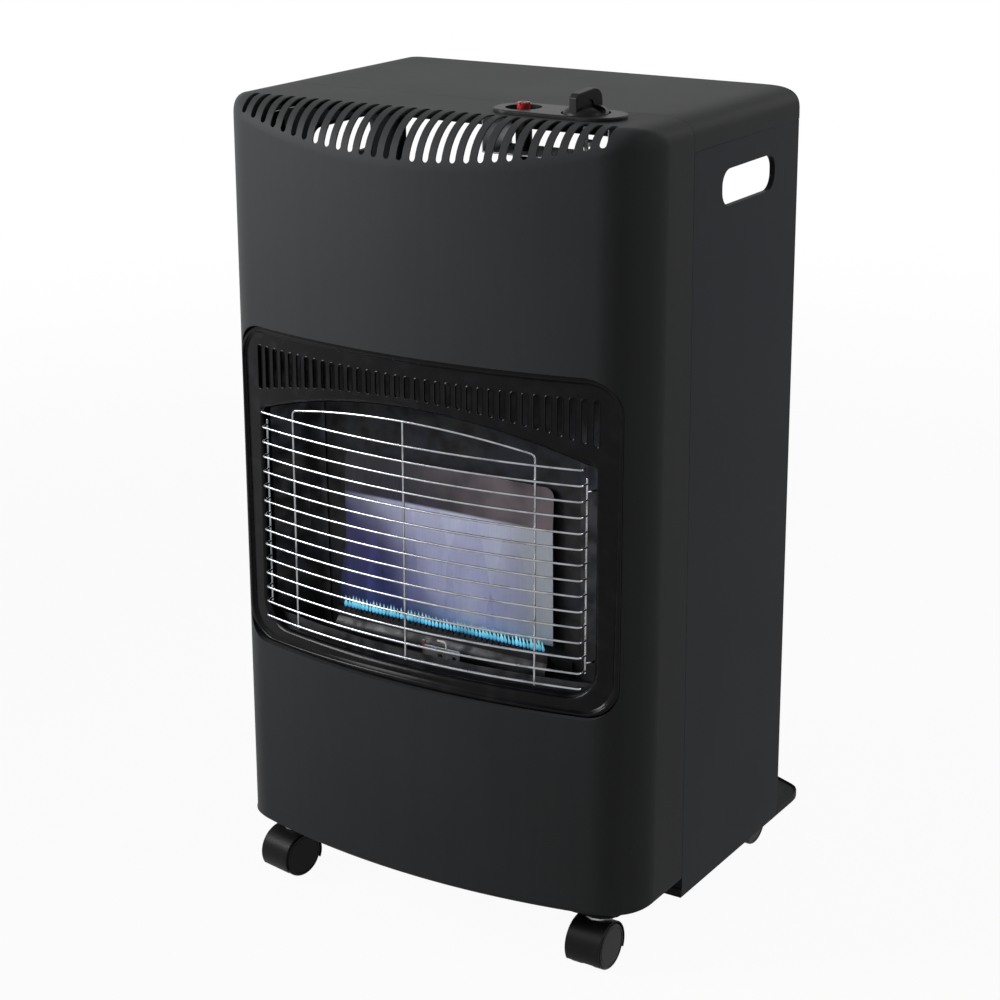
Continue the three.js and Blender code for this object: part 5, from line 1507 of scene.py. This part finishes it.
# ---------------------------------------------------------------- cabinet
@dataclass
class Cabinet:
    """The folded sheet panels behind the front."""

    depth: float = 190
    skirt: float = 27
    flange_drops: Pair = (21, 14)
    corner_steps: int = 16
    squareness: float = 3.3

    def top_line(self, inset: float) -> list[Pair]:
        """The outline (x, z) of the top, from the right skirt's foot over to the left one."""
        flat = BOW.width / 2 - BOW.side_rounding
        radius = float(BOW.shoulder_radius(flat))
        side = BOW.side_rounding - inset
        right = [(BOW.width / 2 - inset, BOW.height - self.skirt)]
        for i in range(self.corner_steps + 1):
            angle = i / self.corner_steps * QUARTER
            across = max(math.cos(angle), 0.0) ** (2 / self.squareness)
            up = math.sin(angle) ** (2 / self.squareness)
            right.append((flat + side * across, BOW.height - radius + (radius - inset) * up))
        return right + [(-x, z) for x, z in reversed(right)]

    def top(self) -> None:
        """The top panel: one sheet folded down at both sides, with a flange at each end."""
        outline = self.top_line(0) + list(reversed(self.top_line(SHEET)))
        panel = Workshop.raw("top_panel_dressed", prism(outline, "y", FIT, self.depth))
        middle = self.top_line(SHEET / 2)
        flanges = []
        for drop, start in zip(self.flange_drops, (FIT, self.depth - SHEET)):
            low = BOW.height - drop
            closed = [(x, max(z, low)) for x, z in middle]
            flanges.append(Workshop.raw("top_flange", prism(closed, "y", start, start + SHEET)))
        Workshop.boolean(panel, flanges, "UNION")
        Workshop.bevel(panel, 0.35, 50)
        Workshop.finish(panel, CHARCOAL, Body.CABINET.value, Slot.CHARCOAL, ["top_panel"])

    def build(self) -> None:
        """Dresses every panel of the cabinet."""
        self.top()
        for node, finish, slot, soften in (
            ("right_side_panel", SIDE_PAINT, Slot.SIDE, 0.35),
            ("left_side_panel", SIDE_PAINT, Slot.SIDE, 0.35),
            ("base_pan", CHARCOAL, Slot.CHARCOAL, 0.35),
            ("divider_panel", ZINC_SHEET, Slot.GALVANISED, 0.3),
            ("controls_bracket", ZINC_SHEET, Slot.GALVANISED, 0.25),
        ):
            Workshop.refine(node, finish, slot, soften)


@dataclass
class Screws:
    """Cross-recessed pan-head screws where the sheets are fixed to each other."""

    head_radius: float = 3.3
    head_height: float = 1.5
    sunk: float = 0.2
    recess: Pair = (3.6, 0.75)
    facing: Triple = (0, 1, 0)
    edge_heights: tuple[float, ...] = (78, 270, 462, 654)
    top_places: tuple[float, ...] = (-150, 0, 150)
    divider_heights: tuple[float, ...] = (300, 420, 530)

    def rows(self) -> dict[str, list[Triple]]:
        """Where the heads sit on the rear edges and on the divider, in millimetres from the seam."""
        edges = [(x, 189.7, z) for x in (-204, 204) for z in self.edge_heights]
        top = [(x, 190, 720.5) for x in self.top_places]
        divider = [(x, 3, z) for x in (-138, 138) for z in self.divider_heights]
        return {"rear": edges + top, "divider": divider}

    def head(self) -> bpy.types.Object:
        """One screw head round its own zero, in metres."""
        radius, height = self.head_radius, self.head_height
        profile = [(radius * math.sin(a), height * math.cos(a)) for a in quarter_turn(5)]
        profile += [(radius, -self.sunk), (0, -self.sunk)]
        zero = 0, -Workshop.seam
        head = Workshop.raw("screw_head", turned(profile, (*zero, 0), segments=20))
        arms = self.recess[0] / 2, self.recess[1] / 2
        cutters = Workshop.crossed("recess", zero, arms, height * 0.35, height * 2)
        return Workshop.boolean(head, cutters, "DIFFERENCE")

    def build(self, scatter: Scatter) -> None:
        """Puts the screws where they belong, one piece for each row."""
        for name, places in self.rows().items():
            facing = [self.facing] * len(places)
            made = scatter.on(f"screws_{name}", self.head(), places, facing, ZINC_STEEL)
            Workshop.finish(made, ZINC_STEEL, Body.CABINET.value, Slot.STEEL, sharp=30)


# ---------------------------------------------------------------- fire
@dataclass
class Fire:
    """The fire box behind the window: shields, reflector, burner, pilot and flames."""

    flames: int = 56
    flame_line: float = 58
    flame_half: float = 104
    flame_foot: float = 273.6
    flame_radius: float = 1.5
    flame_height: float = 11.5
    flame_taper: float = 0.62
    plume_foot: float = 2
    plume_behind: float = 1.5
    plume_thickness: float = 2.4
    plume_edge: float = 0.05
    plumes: tuple[Triple, ...] = (
        (-88, 24, 120),
        (-52, 30, 148),
        (-12, 26, 132),
        (28, 28, 112),
        (68, 24, 96),
    )

    def metal(self) -> None:
        """Dresses the sheets and fittings."""
        galvanised, sooty = Slot.GALVANISED, Slot.SOOTY
        for node, finish, slot, soften in (
            ("heat_shield", SHIELD, galvanised, 0.3),
            ("fire_hood", SHIELD, galvanised, 0.3),
            ("right_shield_bracket", ZINC_SHEET, galvanised, 0.3),
            ("left_shield_bracket", ZINC_SHEET, galvanised, 0.3),
            ("floor_tray", SOOTY, sooty, 0.3),
            ("right_fire_wall", SOOTY, sooty, 0.3),
            ("left_fire_wall", SOOTY, sooty, 0.3),
            ("burner", SOOTY, sooty, 0.15),
            ("reflector", REFLECTOR_SHEET, Slot.REFLECTOR, 0.3),
            ("pilot_plate", ZINC_STEEL, galvanised, 0.2),
            ("burner_jet", BRASS, Slot.BRASS, 0.2),
            ("pilot_burner", BRASS, Slot.BRASS, 0.2),
            ("thermocouple", COPPER, Slot.COPPER, 0.15),
            ("spark_electrode", CERAMIC, Slot.CERAMIC, 0.15),
        ):
            Workshop.refine(node, finish, slot, soften)

    def flame(self) -> bpy.types.Object:
        """One flame round its own zero, in metres."""
        profile = [(0.0, 0.0)]
        for t in np.linspace(0.02, 1, 9):
            bulge = math.sin(math.pi * min(1.0, t * 1.25 + 0.22))
            width = bulge if t < self.flame_taper else 1.25 * (1 - t) ** 0.9
            profile.append((self.flame_radius * max(width, 0.0), self.flame_height * t))
        return Workshop.raw("flame", turned(profile, (0, -Workshop.seam, 0), segments=8))

    def plume(self, x: float, half: float, height: float) -> Shape:
        """A soft glowing tongue that rises from the burner, painted light for the violet glow over the
        flames.
        """
        loops = []
        angle = np.linspace(0, 2 * math.pi, 20, endpoint=False)
        for t in np.linspace(0, 1, 15):
            sway = 5 * math.sin(4.2 * t + x) * t
            width = half * math.sqrt(max(1 - t**2.2, 0.0)) * (1 - 0.3 * t) + self.plume_edge
            depth = self.plume_thickness * math.sqrt(max(1 - t, 0.0)) + self.plume_edge
            y = -self.flame_line + self.plume_behind + 2.5 * math.sin(3 * t + x * 0.7) * t
            z = np.full(len(angle), self.flame_foot + self.plume_foot + height * t)
            ring = [x + sway + width * np.cos(angle), y + depth * np.sin(angle), z]
            loops.append(np.column_stack(ring))
        return loft(loops, ends=True)

    def build(self, scatter: Scatter) -> None:
        """Dresses the fire box and lights it."""
        self.metal()
        cabinet = Body.CABINET.value
        spread = np.linspace(-self.flame_half, self.flame_half, self.flames)
        places = [(x, -self.flame_line, self.flame_foot) for x in spread]
        facing = [(0.1 * math.sin(5 * x), -0.1 + 0.06 * math.cos(3 * x), 1) for x in spread]
        flames = scatter.on("flames", self.flame(), places, facing, BLUE_FLAME, 0.2, 11)
        Workshop.finish(flames, BLUE_FLAME, cabinet, Slot.REFLECTOR, sharp=180)
        # Faint glowing sheets over the burner: painted light for the violet glow on the reflector.
        glow_sheets = self.plume(*self.plumes[0])
        for plume in self.plumes[1:]:
            glow_sheets = glow_sheets + self.plume(*plume)
        made = Workshop.raw("flame_haze", glow_sheets)
        Workshop.finish(made, VIOLET_GLOW_PAINT, cabinet, Slot.REFLECTOR, sharp=180)


# ---------------------------------------------------------------- controls
@dataclass
class Controls:
    """The bezel with its two cups, the knob, the igniter button and the gas fittings."""

    y: float = -35
    knob_x: float = 131
    button_x: float = 73
    left: float = 48
    right: float = 166
    half_depth: float = 22
    thickness: float = 3
    edge: tuple[Pair, ...] = ((0, 1.2), (0.15, 0.7), (0.45, 0.3), (1.1, 0))
    cup_radii: Pair = (20, 15)
    cup_depth: float = 6.5
    knob_radius: float = 18.5
    knob_skirt: float = 8
    knob_foot: float = 729.1
    grip: Triple = (34, 8, 21)
    grip_front: Pair = (0.35, 0.4)
    grip_rear: tuple[Pair, ...] = ((0.8, 0.9), (1, 0.75))
    knob_turn: float = math.radians(-7)
    spindle: float = 2.2
    button_radius: float = 5.5
    button_rise: float = 11

    @property
    def cup_floor(self) -> float:
        """Height of the cups' floors."""
        return BOW.height + FIT + self.thickness - self.cup_depth

    def stadium(self, inset: float) -> list[Pair]:
        """The bezel's outline, moved inwards."""
        radius = self.half_depth - inset
        return rounded_rectangle(
            self.left + inset, self.right - inset, self.y - radius, self.y + radius, radius, 20
        )

    def cylinder(self, name: str, x: float, radius: float, low: float, high: float) -> bpy.types.Object:
        """An upright cylinder for a cup or a hole."""
        return Workshop.raw(name, turned(drum(radius, low, high), (x, self.y, 0)))

    def bezel(self) -> None:
        """The plate with a rounded edge and its cups."""
        seat = BOW.height + FIT
        top = seat + self.thickness
        loops = []
        for inset, z in [(0, seat), *((inset, top - fall) for inset, fall in self.edge)]:
            loops.append(np.array([(x, y, z) for x, y in self.stadium(inset)]))
        plate = Workshop.raw("control_bezel_dressed", loft(loops, ends=True))
        floor = self.cup_floor
        cups = list(zip((self.knob_x, self.button_x), self.cup_radii))
        added = [self.cylinder("cup", x, r + SHEET, floor - SHEET, seat + SHEET) for x, r in cups]
        Workshop.boolean(plate, added, "UNION")
        hollows = [self.cylinder("hollow", x, r, floor, seat + 2 * self.thickness) for x, r in cups]
        bores = ((self.knob_x, self.spindle + FIT), (self.button_x, self.button_radius + FIT))
        holes = [self.cylinder("hole", x, r, floor - 3 * SHEET, floor + SHEET) for x, r in bores]
        Workshop.boolean(plate, hollows + holes, "DIFFERENCE")
        Workshop.bevel(plate, 0.3, 50)
        Workshop.finish(plate, BLACK_PLASTIC, Body.CABINET.value, Slot.PLASTIC, ["control_bezel"], 30)

    def knob(self) -> None:
        """The knob: a round skirt and an upright grip, scooped at both sides."""
        long, width, height = self.grip
        radius, skirt = self.knob_radius, self.knob_skirt
        profile = [(0.0, 0.0), (radius, 0.0), (radius, skirt * 0.2)]
        for t in np.linspace(0.1, 1, 9):
            profile.append((radius * (1 - 0.5 * t**1.6), skirt * (0.2 + 0.8 * math.sin(t * QUARTER))))
        profile.append((0.0, skirt))
        seat = Matrix.Translation((self.knob_x, self.y, self.knob_foot))
        shift = seat @ Matrix.Rotation(self.knob_turn, 4, "Z")
        round_part = turned(profile, (0, 0, 0), segments=72).turned(shift)
        knob = Workshop.raw("control_knob_dressed", round_part)
        end = long / 2
        reach, start = self.grip_front
        side = [(-end, SHEET), (end, SHEET), (end, height * start)]
        for t in np.linspace(0.1, 1, 10):
            first, second, third = (1 - t) ** 2, 2 * t * (1 - t), t**2
            across = first * end + second * end + third * end * reach
            side.append((across, first * height * start + second * height + third * height))
        side += [(-end * out, height * up) for out, up in self.grip_rear]
        grip = Workshop.raw("grip", prism(side, "x", -width / 2, width / 2).turned(shift))
        Workshop.bevel(grip, 0.9, 30, 3)
        Workshop.boolean(knob, [grip], "UNION")
        scoops = []
        for low, high in ((width / 2 - SHEET, radius), (-radius, SHEET - width / 2)):
            shape = turned(drum(height / 4, low, high), (0, 0, skirt), "x", 40).turned(shift)
            scoops.append(Workshop.raw("scoop", shape))
        bore = drum(self.spindle + FIT, -SHEET, height / 2 + FIT)
        scoops.append(Workshop.raw("bore", turned(bore, (0, 0, 0)).turned(shift)))
        Workshop.boolean(knob, scoops, "DIFFERENCE")
        Workshop.finish(knob, BLACK_PLASTIC, Body.KNOB.value, Slot.PLASTIC, ["control_knob"], 28)

    def button(self) -> None:
        """The igniter button, domed and notched across its top."""
        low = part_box("igniter_button")[0].z / MM
        top = self.cup_floor + self.button_rise
        radius = self.button_radius
        dome = [(radius * math.cos(a), top - 1 + math.sin(a)) for a in quarter_turn(6)]
        profile = [(0, low), (radius, low), *dome[:-1], (0, top)]
        button = Workshop.raw("igniter_button_dressed", turned(profile, (self.button_x, self.y, 0)))
        centre, arms = (self.button_x, self.y), (radius + SHEET, SHEET / 2)
        notches = Workshop.crossed("notch", centre, arms, top - self.button_rise / 4, top + SHEET)
        Workshop.boolean(button, notches, "DIFFERENCE")
        Workshop.bevel(button, 0.2, 40)
        Workshop.finish(button, RED_PLASTIC, Body.BUTTON.value, Slot.RED, ["igniter_button"], 30)

    def build(self) -> None:
        """Dresses the controls and the fittings under them."""
        self.bezel()
        self.knob()
        self.button()
        for node, finish, slot, soften, body in (
            ("gas_valve", BRASS, Slot.BRASS, 0.4, Body.CABINET),
            ("igniter", BLACK_PLASTIC, Slot.PLASTIC, 0.2, Body.CABINET),
            ("hose_nozzle", BRASS, Slot.BRASS, 0.2, Body.CABINET),
            ("burner_pipe", COPPER, Slot.COPPER, 0, Body.CABINET),
            ("pilot_pipe", COPPER, Slot.COPPER, 0, Body.CABINET),
            ("supply_pipe", BRASS, Slot.BRASS, 0, Body.CABINET),
            ("valve_spindle", ZINC_STEEL, Slot.STEEL, 0.2, Body.KNOB),
            ("spindle_collar", ZINC_STEEL, Slot.STEEL, 0.3, Body.COLLAR),
        ):
            Workshop.refine(node, finish, slot, soften, body.value)


# ---------------------------------------------------------------- casters
@dataclass
class Caster:
    """A twin-wheel caster under a hood, drawn round its swivel pin and turned into place."""

    corner: str
    x: float
    y: float
    turn: float = 0.0
    trail: float = 10
    wheel_radius: float = 21
    width: float = 34
    core: float = 12
    hood_gap: float = 0.7
    axle_radius: float = 2.5
    pin_radius: float = 3
    pin_span: Pair = (30, 48)
    tread: float = 2.4
    bore_end: float = 1
    cap: tuple[Pair, ...] = ((18.2, 0.1), (17.8, 0.5), (17.2, 0.5), (16.8, 0.2), (0, 0.2))
    cover: Pair = (-0.14 * math.pi, 1.17 * math.pi)
    web_span: Pair = (1.1 * math.pi, 1.7 * math.pi)

    def place(self) -> Matrix:
        """From the caster's own coordinates to millimetres from the seam."""
        pin_x = self.x - self.trail * math.sin(self.turn)
        pin_y = self.y + self.trail * math.cos(self.turn)
        return Matrix.Translation((pin_x, pin_y, 0)) @ Matrix.Rotation(self.turn, 4, "Z")

    def arc(self, radius: float, start: float, end: float, steps: int) -> list[Pair]:
        """Points (y, z) on an arc round the axle."""
        y, z = -self.trail, self.wheel_radius
        angles = np.linspace(start, end, steps)
        return [(y + radius * math.cos(a), z + radius * math.sin(a)) for a in angles]

    def housing(self) -> bpy.types.Object:
        """The hood over both wheels, on the web between them."""
        outside = self.wheel_radius + self.hood_gap + SHEET
        start, end = self.cover
        ring = self.arc(outside, start, end, 49) + self.arc(outside - SHEET, end, start, 49)
        hood = prism(ring, "x", -self.width / 2, self.width / 2).turned(self.place())
        made = Workshop.raw(f"caster_{self.corner}_hood", hood)
        Workshop.bevel(made, 0.5, 50, 3)
        fan = self.arc(outside - 0.2, start, end, 49)
        fan += self.arc(2 * self.axle_radius + SHEET, *self.web_span, 10)
        web = prism(fan, "x", -self.core / 2, self.core / 2).turned(self.place())
        Workshop.boolean(made, [Workshop.raw("web", web)], "UNION")
        pin = turned(drum(self.pin_radius + FIT, *self.pin_span), (0, 0, 0))
        axle = drum(self.axle_radius + FIT, -self.core, self.core)
        axle_bore = turned(axle, (0, -self.trail, self.wheel_radius), "x")
        bores = [Workshop.raw("bore", shape.turned(self.place())) for shape in (pin, axle_bore)]
        return Workshop.boolean(made, bores, "DIFFERENCE")

    def wheel(self, side: int) -> Shape:
        """A wheel with a rounded tread and a flat cap in its outer end."""
        start, end, radius = self.core / 2 + FIT, self.width / 2, self.wheel_radius
        bore, tread = self.axle_radius + FIT, self.tread
        profile = [(0.0, end - self.bore_end), (bore, end - self.bore_end), (bore, start)]
        profile += [(radius - tread / 4, start), (radius, start + tread / 4)]
        for a in quarter_turn(7):
            profile.append((radius - tread * (1 - math.cos(a)), end - tread + tread * math.sin(a)))
        profile += [(r, end - deep) for r, deep in self.cap]
        mirrored = [(r, side * along) for r, along in profile]
        return turned(mirrored, (0, -self.trail, radius), "x", 64).turned(self.place())

    def build(self) -> None:
        """Dresses the caster's five nodes."""
        body = f"caster_{self.corner}"
        housing = self.housing()
        Workshop.finish(housing, BLACK_PLASTIC, body, Slot.PLASTIC, [f"{body}_housing"], 30)
        Workshop.refine(f"{body}_plate", ZINC_STEEL, Slot.STEEL, 0.2)
        Workshop.refine(f"{body}_axle", ZINC_STEEL, Slot.STEEL, 0, body)
        for letter, side in (("r", 1), ("l", -1)):
            wheel = Workshop.raw(f"{body}_tyre_{letter}", self.wheel(side))
            rides = f"wheel_{self.corner}_{letter}"
            Workshop.finish(wheel, WHEEL_PLASTIC, rides, Slot.PLASTIC, [f"{body}_wheel_{letter}"], 32)


# ---------------------------------------------------------------- studio
@dataclass(frozen=True)
class Lamp:
    """A soft rectangular lamp."""

    name: str
    place: Triple
    aim: Triple
    size: Pair
    power: float
    spread: float = math.pi

    def build(self) -> None:
        """Hangs the lamp."""
        data = bpy.data.lights.new(self.name, "AREA")
        data.shape = "RECTANGLE"
        data.size, data.size_y = self.size
        data.energy = self.power
        data.spread = self.spread
        made = Workshop.linked(self.name, data)
        made.location = self.place
        way = Vector(self.aim) - Vector(self.place)
        made.rotation_euler = way.to_track_quat("-Z", "Y").to_euler()


@dataclass
class Studio:
    """White floor, soft lamps and the camera that took the photograph."""

    lens: float = 82.80
    eye: Triple = (1.05687, -1.68890, 1.02184)
    right: Triple = (0.84243, 0.53881, -0.009324)
    up: Triple = (-0.16454, 0.27366, 0.9477)
    forward: Triple = (-0.51314, 0.79676, -0.31916)
    sensor: float = 36
    near: float = 0.05
    ambient: float = 0.11
    floor_half: float = 9
    floor_paint: float = 0.45
    shadow: float = 0.05
    shadow_fades: Pair = (0.9, 3.0)
    lamps: tuple[Lamp, ...] = (
        Lamp("key lamp", (-1.25, -1.05, 1.15), (-0.1, -0.2, 0.85), (0.7, 0.9), 13, KEY_SPREAD),
        Lamp("side lamp", (2.0, 0.0, 1.8), (0.1, 0, 0.5), (0.8, 1.2), 18),
        Lamp("rear lamp", (0.9, 1.7, 1.5), (0, 0, 0.4), (1.2, 1.2), 10),
    )

    def camera(self) -> None:
        """Puts the camera where the photograph was taken from."""
        data = bpy.data.cameras.new("camera")
        data.lens = self.lens
        data.sensor_width = self.sensor
        data.clip_start = self.near
        made = Workshop.linked("camera", data)
        back = -Vector(self.forward)
        turn = Matrix((self.right, self.up, back)).transposed().to_4x4()
        made.matrix_world = Matrix.Translation(self.eye) @ turn
        bpy.context.scene.camera = made

    @staticmethod
    def seen(graph: Graph) -> Value:
        """1 for rays from the camera and for those that metal or glass sends on."""
        rays = graph.tree.nodes.new("ShaderNodeLightPath")
        camera, glossy, through = (
            Value(graph, rays.outputs[name])
            for name in ("Is Camera Ray", "Is Glossy Ray", "Is Transmission Ray")
        )
        sum_of_rays = camera + glossy + through
        return graph.node("ShaderNodeMath", {"operation": "MINIMUM"}, {0: sum_of_rays, 1: 1.0})

    def world(self) -> None:
        """White behind the object, and a weaker even light on it."""
        world = bpy.data.worlds.new("white room")
        world.use_nodes = True
        graph = Graph(world.node_tree)
        graph.tree.nodes.clear()
        strength = self.ambient + self.seen(graph) * (1 - self.ambient)
        light = graph.node("ShaderNodeBackground", inputs={0: (1, 1, 1, 1), 1: strength})
        graph.node("ShaderNodeOutputWorld", inputs={0: light})
        bpy.context.scene.world = world

    def floor(self) -> None:
        """A white floor that keeps the object's shadow."""
        shader = Shader("white floor")
        paint = shader.node("ShaderNodeBsdfDiffuse", inputs={0: (*[self.floor_paint] * 3, 1)})
        white = shader.node("ShaderNodeEmission", inputs={0: (1, 1, 1, 1), 1: 1.0})
        settings = {"operation": "LENGTH"}
        away = shader.node("ShaderNodeVectorMath", settings, {0: shader.place()}, out="Value")
        fade = away.smooth(*self.shadow_fades)
        share = self.seen(shader) * (1 - self.shadow + fade * self.shadow)
        mixed = shader.node("ShaderNodeMixShader", inputs={0: share, 1: paint, 2: white})
        shader.tree.links.new(mixed.socket, shader.output.inputs["Surface"])
        mesh = bpy.data.meshes.new("floor")
        half = self.floor_half
        corners = [(-half, -half, 0), (half, -half, 0), (half, half, 0), (-half, half, 0)]
        mesh.from_pydata(corners, [], [(0, 1, 2, 3)])
        mesh.materials.append(shader.material)
        Workshop.linked("floor", mesh)

    def build(self) -> None:
        """Sets up the camera, the light and the floor."""
        self.camera()
        self.world()
        self.floor()
        for lamp in self.lamps:
            lamp.build()
        bpy.context.scene.view_settings.view_transform = "Standard"


def main() -> None:
    """Builds the heater around its frame."""
    logging.basicConfig(level=logging.INFO, format="%(relativeCreated)6.0f ms  %(message)s")
    Workshop.open()
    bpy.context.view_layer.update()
    Studio().build()
    rods, scatter = Rods(), Scatter()
    FrontShell().build(rods)
    WindowSurround().build(rods)
    WireGuard().build(rods)
    Cabinet().build()
    Fire().build(scatter)
    Controls().build()
    for caster in (
        Caster("front_left", -165, -74, math.radians(-10.5)),
        Caster("front_right", 165, -74),
        Caster("rear_left", -165, 203),
        Caster("rear_right", 165, 203),
    ):
        caster.build()
    Screws().build(scatter)


if __name__ == "__main__":
    main()
